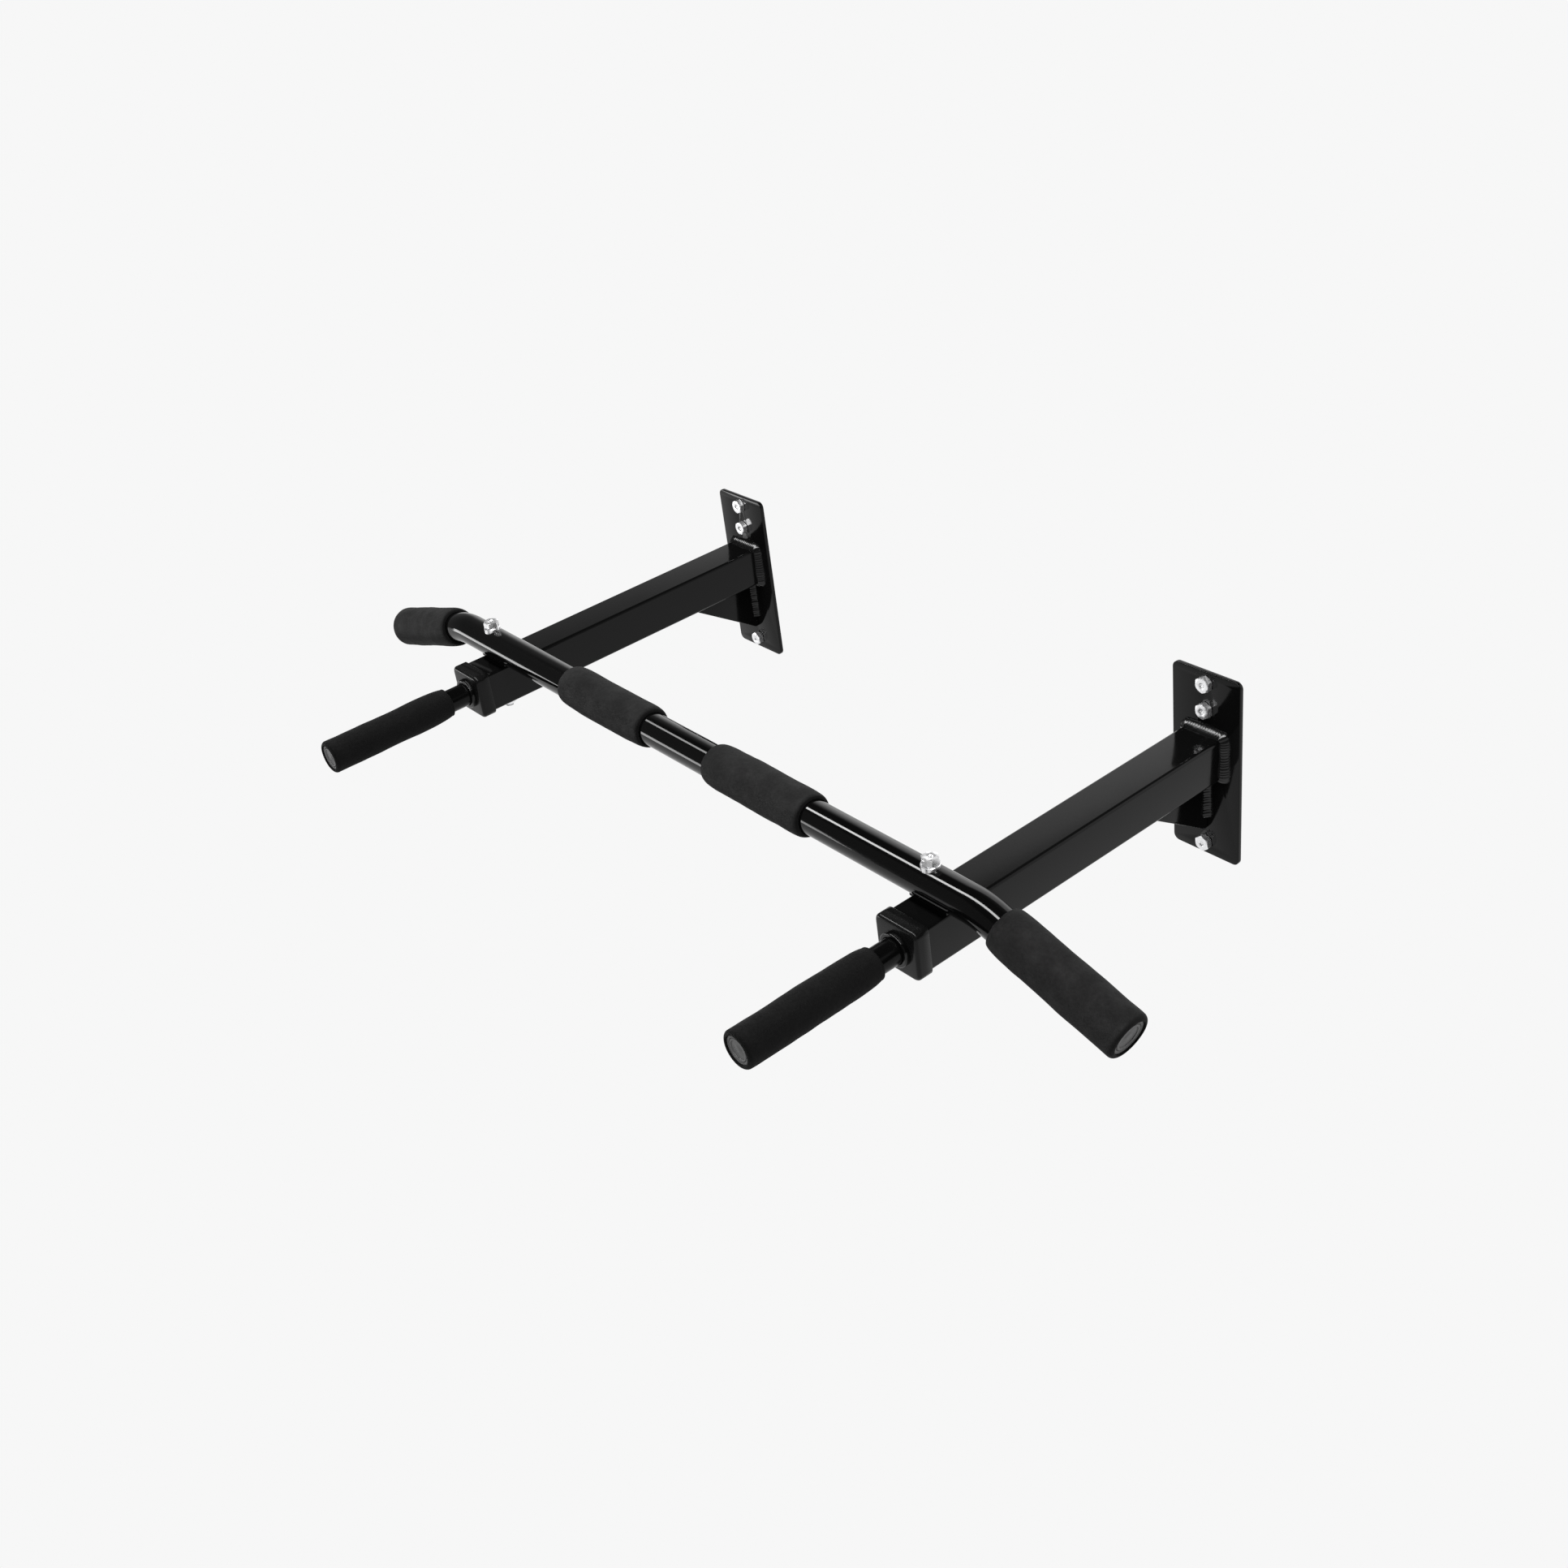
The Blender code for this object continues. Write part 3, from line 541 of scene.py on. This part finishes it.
def end_plug(name, rim, stem, place, node):
    """Grey plug: rounded rim, a groove, a shallow dish and a centre pip."""
    top = PLUG_THICKNESS
    groove = rim * 0.80
    dish = rim * 0.62
    profile = [(stem, -PLUG_STEM), (stem, 0.0), (rim, 0.0), (rim, top - PLUG_EDGE)]
    profile += arc_points((rim - PLUG_EDGE, top - PLUG_EDGE), PLUG_EDGE, 0, 90, 4)
    profile += [(groove + 0.0005, top), (groove, top - PLUG_GROOVE), (groove - 0.0005, top),
                (dish + 0.0004, top), (dish, top - PLUG_GROOVE), (rim * 0.30, top - 0.0006),
                (rim * 0.26, top - 0.0003), (rim * 0.10, top - 0.0002), (0.0003, top - 0.0002)]
    plug = turned(name, profile, place, closed=False)
    finish_piece(plug, PLUG_PLASTIC, [node])


def make_bar_grips(side_name, side):
    """The two foam grips on one half of the bar, and the plug in its end."""
    centre_node = side_name + "_centre_grip"
    outer = extent(centre_node).y / 2
    foam_sleeve(side_name + "_centre_foam", BAR_RADIUS, outer, extent(centre_node).x,
                along_bar(side, centre_node), GRIP_FOAM, centre_node, 1 + side, GRIP_TAPER)

    end_node = side_name + "_end_grip"
    plug_node = side_name + "_bar_end_plug"
    rim = PLUG_SHARE * extent(plug_node).y / 2
    tip_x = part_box(end_node)[1 if side > 0 else 0][0] * side
    foam_end = (tip_x - BEND_X - (outer - 0.0010) * math.sin(BEND_ANGLE)) / math.cos(BEND_ANGLE)
    foam_sleeve(side_name + "_end_foam", BAR_RADIUS, outer, END_FOAM_LENGTH,
                along_end(side, foam_end - END_FOAM_LENGTH), GRIP_FOAM, end_node, 4 + side,
                GRIP_TAPER, plug_seat=rim + PLUG_SEAT_FIT)
    end_plug(side_name + "_bar_plug", rim, BAR_RADIUS - TUBE_WALL - PLUG_STEM_FIT,
             along_end(side, foam_end - PLUG_SEAT_DEPTH + PLUG_SEAT_FIT), plug_node)


def make_handle_grip(side_name, side):
    """The foam grip on one handle, and the plug in its end."""
    grip_node = side_name + "_handle_grip"
    plug_node = side_name + "_handle_end_plug"
    low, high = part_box(grip_node)
    outer = HANDLE_RADIUS + extent(side_name + "_centre_grip").y / 2 - BAR_RADIUS
    rim = PLUG_SHARE * extent(plug_node).x / 2
    foam_sleeve(side_name + "_handle_foam", HANDLE_RADIUS, outer, high[1] - low[1],
                at(side * ARM_X, high[1], 0.0) @ TO_FRONT, HANDLE_FOAM, grip_node, 8 + side,
                HANDLE_TAPER, plug_seat=rim + PLUG_SEAT_FIT)
    end_plug(side_name + "_handle_plug", rim, HANDLE_RADIUS - TUBE_WALL - PLUG_STEM_FIT,
             at(side * ARM_X, low[1] + PLUG_SEAT_DEPTH - PLUG_SEAT_FIT, 0.0) @ TO_FRONT, plug_node)


# Arms, plates and gussets

def make_plate(side_name, side):
    """Wall plate with softened edges and its three holes."""
    node = side_name + "_wall_plate"
    size = extent(node)
    outlines = [rounded_rectangle(size.x, size.z, PLATE_CORNER, (0.0, middle(node).z))]
    for level in BOLT_LEVELS:
        z = middle(f"{side_name}_wall_bolt_{level}").z
        outlines.append(arc_points((0.0, z), PLATE_HOLE, 0, 350, 35))
    place = at(side * ARM_X, -PLATE_THICKNESS / 2, 0.0) @ TO_FRONT
    plate = sheet_piece(side_name + "_plate", outlines, PLATE_THICKNESS, PLATE_EDGE, place)
    finish_piece(plate, PLATE_PAINT, [node])


def make_arm(side_name, side):
    """Square tube with round corners, open at both ends."""
    node = side_name + "_arm"
    low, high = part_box(node)
    outside = rounded_rectangle(ARM_SIZE, ARM_SIZE, ARM_CORNER)
    bore = ARM_SIZE - 2 * TUBE_WALL
    inside = rounded_rectangle(bore, bore, ARM_CORNER - 0.6 * TUBE_WALL)
    rings = []
    for outline, y in ((outside, low[1]), (outside, high[1]), (inside, high[1]), (inside, low[1])):
        rings.append([Vector((side * ARM_X + x, y, z)) for x, z in outline])
    arm = loft(side_name + "_arm_tube", rings, closed=True)
    finish_piece(arm, FRAME_PAINT, [node], smooth_angle=30)


def make_gusset(side_name, side):
    """Triangular rib with its sharp tips cut square."""
    node = side_name + "_gusset"
    low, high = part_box(node)
    slope = (high[2] - low[2]) / (high[1] - low[1])
    outline = [(-high[1], low[2]), (-high[1] + GUSSET_TIP, low[2] + 0.0002),
               (-low[1], high[2] - GUSSET_TIP * slope), (-low[1], high[2]), (-high[1], high[2])]
    stand = Matrix(((0, 0, -1, 0), (-1, 0, 0, 0), (0, 1, 0, 0), (0, 0, 0, 1)))
    rib = sheet_piece(side_name + "_rib", [outline], high[0] - low[0], SHEET_EDGE,
                      at(side * ARM_X) @ stand)
    finish_piece(rib, FRAME_PAINT, [node])


def weld_ring(corner, along, across, rise, travel, leg):
    """One section of a rippled fillet bead: its two legs and a bulging face."""
    bulge = noise.noise(corner * 160.0 + along * travel * 60.0)
    travel += 0.0009 * noise.noise(corner * 240.0)
    points = [corner]
    for step in range(WELD_SIDES + 1):
        angle = QUARTER * step / WELD_SIDES
        phase = travel / WELD_PITCH + 0.35 * math.sin(2 * angle)
        ripple = abs(math.sin(math.pi * phase))
        reach = leg * (0.86 + 0.07 * ripple + 0.15 * bulge)
        crown = 1.0 + 0.06 * math.sin(2 * angle)
        points.append(corner + across * (0.80 * reach * math.cos(angle) ** 1.7 * crown)
                      + rise * (reach * math.sin(angle) ** 1.7 * crown))
    return points


def weld_bead(name, path, leg, nodes):
    """A bead swept along a path of (corner, along, across, rise) frames."""
    rings = []
    travel = 0.0
    for index, (corner, along, across, rise) in enumerate(path):
        if index:
            travel += (corner - path[index - 1][0]).length
        fade = min(1.0, 0.35 + min(index, len(path) - 1 - index) / WELD_FADE)
        rings.append(weld_ring(corner, along, across, rise, travel, leg * fade))
    bead = loft(name, rings)
    finish_piece(bead, WELD_PAINT, nodes, smooth_angle=60)


def arm_weld_path(side, gap_half):
    """Frames round the arm's outline, from one side of the gusset to the other."""
    half = ARM_SIZE / 2
    outline = rounded_rectangle(ARM_SIZE, ARM_SIZE, ARM_WELD_CORNER, steps=6)
    dense = []
    for index, start in enumerate(outline):
        end = outline[(index + 1) % len(outline)]
        count = max(1, int(math.dist(start, end) / WELD_STEP))
        for step in range(count):
            share = step / count
            dense.append((start[0] + (end[0] - start[0]) * share,
                          start[1] + (end[1] - start[1]) * share))

    def underneath(point):
        return point[1] < -half + 0.0001

    first = min(index for index, point in enumerate(dense)
                if underneath(point) and point[0] >= gap_half)
    flat = half - ARM_WELD_CORNER
    path = []
    for x, z in dense[first:] + dense[:first]:
        if underneath((x, z)) and abs(x) < gap_half:
            continue
        outward = Vector((x - max(-flat, min(flat, x)), 0.0, z - max(-flat, min(flat, z))))
        outward.normalize()
        along = Vector((0.0, 1.0, 0.0)).cross(outward)
        corner = Vector((side * ARM_X + x, -PLATE_THICKNESS, z))
        path.append((corner, along, outward, Vector((0.0, -1.0, 0.0))))
    return path


def make_welds(side_name, side):
    """The bead round the arm, and one down each face of the gusset."""
    gusset_half = extent(side_name + "_gusset").x / 2
    weld_bead(side_name + "_arm_bead", arm_weld_path(side, gusset_half + WELD_CLEAR),
              ARM_WELD_LEG, [side_name + "_arm_weld"])
    for face_name, face in (("inner", -side), ("outer", side)):
        node = f"{side_name}_gusset_weld_{face_name}"
        low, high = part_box(node)
        count = int((high[2] - low[2]) / WELD_STEP)
        path = []
        for step in range(count + 1):
            z = high[2] + (low[2] - high[2]) * step / count
            corner = Vector((side * ARM_X + face * gusset_half, -PLATE_THICKNESS, z))
            path.append((corner, Vector((0, 0, -1)), Vector((face, 0, 0)), Vector((0, -1, 0))))
        weld_bead(f"{side_name}_gusset_bead_{face_name}", path, GUSSET_WELD_LEG, [node])


# End caps, handles and fasteners

def make_cap(side_name, side):
    """Sleeve cap: a softened mouth, a rounded front edge and a round hole."""
    node = side_name + "_end_cap"
    low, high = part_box(node)
    size = extent(node).x
    depth = high[1] - low[1]
    centre = Vector((side * ARM_X, 0.0, 0.0))

    def square(width, radius, y):
        return [centre + Vector((x, y, z))
                for x, z in rounded_rectangle(width, width, radius, steps=CAP_CORNER_STEPS)]

    def round_hole(radius, y):
        outline = rounded_rectangle(size, size, CAP_CORNER, steps=CAP_CORNER_STEPS)
        return [centre + Vector((0.0, y, 0.0)) + Vector((x, 0.0, z)).normalized() * radius
                for x, z in outline]

    bore = ARM_SIZE + 2 * CAP_FIT
    hole = HANDLE_RADIUS + CAP_HOLE_FIT
    rings = [square(bore, ARM_CORNER, low[1] + CAP_FLOOR), square(bore, ARM_CORNER, high[1]),
             square(size - 0.0006, CAP_CORNER - 0.0003, high[1]),
             square(size, CAP_CORNER, high[1] - 0.0004),
             square(size, CAP_CORNER, low[1] + depth * 0.5),
             square(size, CAP_CORNER, low[1] + CAP_EDGE)]
    for step in range(1, CAP_EDGE_STEPS + 1):
        angle = QUARTER * step / CAP_EDGE_STEPS
        inset = CAP_EDGE * (1 - math.cos(angle))
        rings.append(square(size - 2 * inset, CAP_CORNER - inset * 0.4,
                            low[1] + CAP_EDGE * (1 - math.sin(angle))))
    rings += [round_hole(COLLAR_RADIUS + 0.0012, low[1]),
              round_hole(hole + CAP_HOLE_EDGE, low[1]), round_hole(hole, low[1] + CAP_HOLE_EDGE),
              round_hole(hole, low[1] + CAP_FLOOR)]
    cap = loft(side_name + "_sleeve_cap", rings, closed=True)
    finish_piece(cap, CAP_PLASTIC, [node], smooth_angle=40)


def make_handle(side_name, side):
    """Handle tube and the collar round it at the cap."""
    node = side_name + "_handle_tube"
    length = extent(node).y
    bore = HANDLE_RADIUS - TUBE_WALL
    profile = [(HANDLE_RADIUS, length), (HANDLE_RADIUS, length * 0.5), (HANDLE_RADIUS, 0.0),
               (bore, 0.0), (bore, length)]
    place = at(side * ARM_X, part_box(node)[1][1], 0.0) @ TO_FRONT
    tube = turned(side_name + "_handle_pipe", profile, place)
    # The tube takes the duller, shaded copy of the enamel: painted shade
    finish_piece(tube, HANDLE_SHADED_PAINT, [node])

    node = side_name + "_handle_collar"
    length = extent(node).y
    bore = HANDLE_RADIUS + COLLAR_FIT
    profile = arc_points((COLLAR_RADIUS - COLLAR_EDGE, length - COLLAR_EDGE), COLLAR_EDGE, 90, 0, 5)
    profile += [(COLLAR_RADIUS, 0.0), (bore, 0.0), (bore, length - 0.0005),
                (bore + 0.0005, length)]
    place = at(side * ARM_X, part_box(node)[1][1], 0.0) @ TO_FRONT
    collar = turned(side_name + "_collar", profile, place)
    finish_piece(collar, BAR_PAINT, [node])


def hex_ring(apothem, height, chamfered=False):
    """A hexagon's outline; when chamfered, its height falls toward the corners."""
    ring = []
    for side in range(HEX_SIDES):
        angle = math.tau * side / HEX_SIDES
        radius = apothem / math.cos(angle % math.radians(60) - math.radians(30))
        fall = max(0.0, radius - apothem * 0.99) * HEAD_CHAMFER if chamfered else 0.0
        ring.append(Vector((radius * math.cos(angle), radius * math.sin(angle), height - fall)))
    return ring


def hex_head_rings(apothem, thick):
    """Rings of a hex head from its seat up: washer face, flats, chamfer and dimple."""
    rings = [circle(apothem * 0.96, 0.0, HEX_SIDES), circle(apothem * 0.97, 0.0004, HEX_SIDES),
             hex_ring(apothem, 0.0004), hex_ring(apothem, thick, chamfered=True)]
    turned_rings = ((apothem * HEX_FACE, thick), (DIMPLE_RADIUS + 0.0005, thick),
                    (DIMPLE_RADIUS, thick - 0.0002), (DIMPLE_RADIUS * 0.6, thick - DIMPLE_DEPTH),
                    (DIMPLE_RADIUS * 0.1, thick - DIMPLE_DEPTH * 1.1))
    return rings + [circle(radius, height, HEX_SIDES) for radius, height in turned_rings]


def thread_rings(start, end):
    """Rings of a thread's grooves from one height up to another."""
    rings = []
    turns = int((end - start) / THREAD_PITCH)
    groove = (end - start) / turns / 2
    for turn in range(turns):
        crest = start + (end - start) * turn / turns
        rings.append(circle(THREAD_RADIUS, crest, HEX_SIDES))
        rings.append(circle(THREAD_RADIUS * THREAD_ROOT, crest + groove, HEX_SIDES))
    rings.append(circle(THREAD_RADIUS * THREAD_ROOT, end, HEX_SIDES))
    return rings


def make_wall_bolts(side_name, side):
    """Three hex bolts in the wall plate, each turned a little differently."""
    seat = -PLATE_THICKNESS - SEAT_GAP
    for index, level in enumerate(BOLT_LEVELS):
        node = f"{side_name}_wall_bolt_{level}"
        turn = Matrix.Rotation(math.radians(30 + 5 * (index - 1) + 3 * side), 4, "Z")
        place = at(side * ARM_X, seat, middle(node).z) @ TO_FRONT @ turn
        rings = [circle(SHANK_RADIUS, -PLATE_THICKNESS + 0.0004, HEX_SIDES),
                 circle(SHANK_RADIUS, 0.0, HEX_SIDES)]
        rings += hex_head_rings(extent(node).x / 2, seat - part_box(node)[0][1])
        bolt = loft(f"{side_name}_plate_bolt_{level}", rings, place=place)
        finish_piece(bolt, ZINC, [node], smooth_angle=28)


def on_bar_bolt(side, height=0.0):
    """The frame on a bar bolt's axis at a height."""
    return at(side * ARM_X, BAR_Y, height)


def bar_bolt_turn(side):
    """How far a bar bolt and its nut happen to be turned."""
    return Matrix.Rotation(math.radians(20 + 8 * side), 4, "Z")


def make_saddle_washer(side_name, side):
    """The washer under the bar bolt's head, curved below to sit on the bar."""
    node = side_name + "_bar_saddle_washer"
    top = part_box(node)[1][2]
    outer = extent(node).x / 2

    def on_bar(radius):
        return [Vector((point.x, point.y,
                        BAR_Z + math.sqrt((BAR_RADIUS + SEAT_GAP) ** 2 - point.y ** 2)))
                for point in circle(radius, 0.0)]

    rings = [circle(WASHER_HOLE, top), circle(outer - SADDLE_EDGE, top),
             circle(outer, top - SADDLE_EDGE), on_bar(outer), on_bar(WASHER_HOLE)]
    saddle = loft(side_name + "_saddle_washer", rings, closed=True, place=on_bar_bolt(side))
    finish_piece(saddle, ZINC, [node])


def make_bar_bolt(side_name, side):
    """The bolt down through bar and arm, with its thread cut below the plain shank."""
    node = side_name + "_bar_bolt"
    low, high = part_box(node)
    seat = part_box(side_name + "_bar_saddle_washer")[1][2] + SEAT_GAP
    rings = thread_rings(low[2] - seat, THREAD_END)
    rings += [circle(SHANK_RADIUS, THREAD_END + 0.001, HEX_SIDES),
              circle(SHANK_RADIUS, 0.0, HEX_SIDES)]
    rings += hex_head_rings(extent(node).x / 2, high[2] - seat)
    bolt = loft(side_name + "_through_bolt", rings,
                place=on_bar_bolt(side, seat) @ bar_bolt_turn(side))
    finish_piece(bolt, ZINC, [node], smooth_angle=28)


def make_nut_washer(side_name, side):
    """The flat washer between the arm and the nut."""
    node = side_name + "_bar_nut_washer"
    low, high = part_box(node)
    outer = extent(node).x / 2
    face = outer - WASHER_EDGE
    profile = [(outer, high[2] - WASHER_EDGE), (face, high[2]), (WASHER_HOLE, high[2]),
               (WASHER_HOLE, low[2]), (face, low[2]), (outer, low[2] + WASHER_EDGE)]
    washer = turned(side_name + "_flat_washer", profile, on_bar_bolt(side))
    finish_piece(washer, ZINC, [node])


def make_nut(side_name, side):
    """The hex nut under the arm, chamfered at both faces."""
    node = side_name + "_bar_nut"
    apothem = extent(node).x / 2
    thick = extent(node).z
    bore = THREAD_RADIUS + SEAT_GAP
    upper = hex_ring(apothem, thick, chamfered=True)
    lower = [Vector((point.x, point.y, thick - point.z)) for point in upper]
    rings = [circle(bore, 0.0, HEX_SIDES), circle(apothem * HEX_FACE, 0.0, HEX_SIDES), lower,
             upper, circle(apothem * HEX_FACE, thick, HEX_SIDES),
             circle(bore + NUT_MOUTH, thick, HEX_SIDES),
             circle(bore, thick - NUT_MOUTH, HEX_SIDES)]
    place = on_bar_bolt(side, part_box(node)[0][2]) @ bar_bolt_turn(side)
    nut = loft(side_name + "_hex_nut", rings, closed=True, place=place)
    finish_piece(nut, ZINC, [node], smooth_angle=28)


def dress_cad_nodes():
    """Paint and soft edges for the CAD nodes that stay: cradles and plates in the arms."""
    for side_name, _ in SIDES:
        for part in ("bar_cradle", "arm_end_plate"):
            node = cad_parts[f"{side_name}_{part}"]
            for material_slot in node.material_slots:
                material_slot.material = FRAME_PAINT
            soften = node.modifiers.new("soft_edges", "BEVEL")
            soften.width = SHEET_EDGE
            soften.segments = 3
            soften.limit_method = "ANGLE"
            soften.angle_limit = QUARTER / 2


# Floor, light and camera

def make_floor():
    """A plain pale floor well under the bar."""
    data = bpy.data.meshes.new("floor")
    data.from_pydata([(-FLOOR_HALF, FLOOR_FRONT_Y, 0.0), (FLOOR_HALF, FLOOR_FRONT_Y, 0.0),
                      (FLOOR_HALF, FLOOR_HALF, 0.0), (-FLOOR_HALF, FLOOR_HALF, 0.0)],
                     [], [(0, 1, 2, 3)])
    floor = new_piece("floor", data, at(z=FLOOR_Z))
    material = bpy.data.materials.new("floor_paint")
    material.use_nodes = True
    shader = material.node_tree.nodes["Principled BSDF"]
    shader.inputs["Base Color"].default_value = (0.0, 0.0, 0.0, 1.0)
    shader.inputs["Roughness"].default_value = 1.0
    shader.inputs["Specular IOR Level"].default_value = 0.0
    shader.inputs["Emission Color"].default_value = (1.0, 1.0, 1.0, 1.0)
    shader.inputs["Emission Strength"].default_value = STUDIO_WHITE
    data.materials.append(material)


def make_world():
    """A soft studio: bright low behind the wall side, dim overhead and in front."""
    world = bpy.data.worlds.new("studio")
    bpy.context.scene.world = world
    world.use_nodes = True
    tree = world.node_tree
    background = tree.nodes["Background"]

    def add(kind):
        return tree.nodes.new(kind)

    direction = add("ShaderNodeTexCoord").outputs["Generated"]
    split = add("ShaderNodeSeparateXYZ")
    tree.links.new(direction, split.inputs["Vector"])
    behind = colour_ramp(tree, split.outputs["Y"], [(0.0, 0.10), (0.38, 0.14), (0.47, 0.24),
                                                    (0.56, 0.66), (0.65, 1.0), (1.0, 1.0)])
    low = colour_ramp(tree, split.outputs["Z"], [(0.0, 1.0), (0.58, 0.95), (0.66, 0.10),
                                                 (1.0, 0.03)])
    mix = add("ShaderNodeMix")
    mix.data_type = "RGBA"
    mix.blend_type = "MULTIPLY"
    mix.inputs["Factor"].default_value = 1.0
    tree.links.new(behind, mix.inputs["A"])
    tree.links.new(low, mix.inputs["B"])
    seen = add("ShaderNodeMix")
    seen.data_type = "RGBA"
    white = STUDIO_WHITE / ROOM_LIGHT
    seen.inputs["B"].default_value = (white, white, white, 1.0)
    tree.links.new(add("ShaderNodeLightPath").outputs["Is Camera Ray"], seen.inputs["Factor"])
    tree.links.new(mix.outputs["Result"], seen.inputs["A"])
    tree.links.new(seen.outputs["Result"], background.inputs["Color"])
    background.inputs["Strength"].default_value = ROOM_LIGHT


def area_light(name, place, target, width, height, power, glossy=True, diffuse=True):
    """A softbox aimed at a point, which may be left out of reflections or diffuse light."""
    data = bpy.data.lights.new(name, "AREA")
    data.shape = "RECTANGLE"
    data.size = width
    data.size_y = height
    data.energy = power
    light = bpy.data.objects.new(name, data)
    bpy.context.scene.collection.objects.link(light)
    light.location = place
    light.rotation_euler = (Vector(target) - Vector(place)).to_track_quat("-Z", "Y").to_euler()
    light.visible_glossy = glossy
    light.visible_diffuse = diffuse
    light.visible_camera = False


def make_lights():
    """A long strip over the bar for its white line, and soft light from the front."""
    bar_middle = (0.0, BAR_Y, BAR_Z)
    # The strip's far end, which the middle of the bar mirrors, is dimmer
    for name, x, length, power in (("strip", 0.135, 2.97, 69), ("strip_end", -1.55, 0.40, 3.5)):
        area_light(name, place=(x, BAR_Y - 0.32, BAR_Z + 1.42), target=(x, BAR_Y, BAR_Z),
                   width=length, height=0.28, power=power)
    # Low on the left, for the fine line along the bar's underside
    area_light("side_window", place=(-2.71, -2.45, -0.62), target=bar_middle,
               width=1.5, height=0.6, power=21, diffuse=False)
    area_light("front_softbox", place=(0.5, -2.6, 1.5), target=(0.0, -0.2, 0.0),
               width=1.6, height=1.2, power=60, glossy=False)
    sun_data = bpy.data.lights.new("overhead", "SUN")
    sun_data.energy = 1.2
    sun_data.angle = math.radians(50)
    sun = bpy.data.objects.new("overhead", sun_data)
    bpy.context.scene.collection.objects.link(sun)
    sun.visible_glossy = False


def make_camera():
    """The view of the object from its front right, from above."""
    data = bpy.data.cameras.new("view")
    data.lens = CAMERA_LENS
    data.sensor_width = CAMERA_SENSOR
    data.clip_end = 400.0
    camera = bpy.data.objects.new("view", data)
    bpy.context.scene.collection.objects.link(camera)
    flat = math.cos(CAMERA_ELEVATION)
    forward = Vector((-math.sin(CAMERA_AZIMUTH) * flat, math.cos(CAMERA_AZIMUTH) * flat,
                      -math.sin(CAMERA_ELEVATION)))
    level = Vector((math.cos(CAMERA_AZIMUTH), math.sin(CAMERA_AZIMUTH), 0.0))
    upright = level.cross(forward)
    right = math.cos(CAMERA_ROLL) * level + math.sin(CAMERA_ROLL) * upright
    up = math.cos(CAMERA_ROLL) * upright - math.sin(CAMERA_ROLL) * level
    turn = Matrix((right, up, -forward)).transposed()
    camera.matrix_world = Matrix.Translation(CAMERA_PLACE) @ turn.to_4x4()
    bpy.context.scene.camera = camera


make_bar()
for side_name, side in SIDES:
    make_bar_grips(side_name, side)
    make_handle_grip(side_name, side)
    make_plate(side_name, side)
    make_arm(side_name, side)
    make_gusset(side_name, side)
    make_welds(side_name, side)
    make_cap(side_name, side)
    make_handle(side_name, side)
    make_wall_bolts(side_name, side)
    make_saddle_washer(side_name, side)
    make_bar_bolt(side_name, side)
    make_nut_washer(side_name, side)
    make_nut(side_name, side)
dress_cad_nodes()
make_floor()
make_world()
make_lights()
make_camera()
bpy.context.scene.view_settings.view_transform = "Standard"
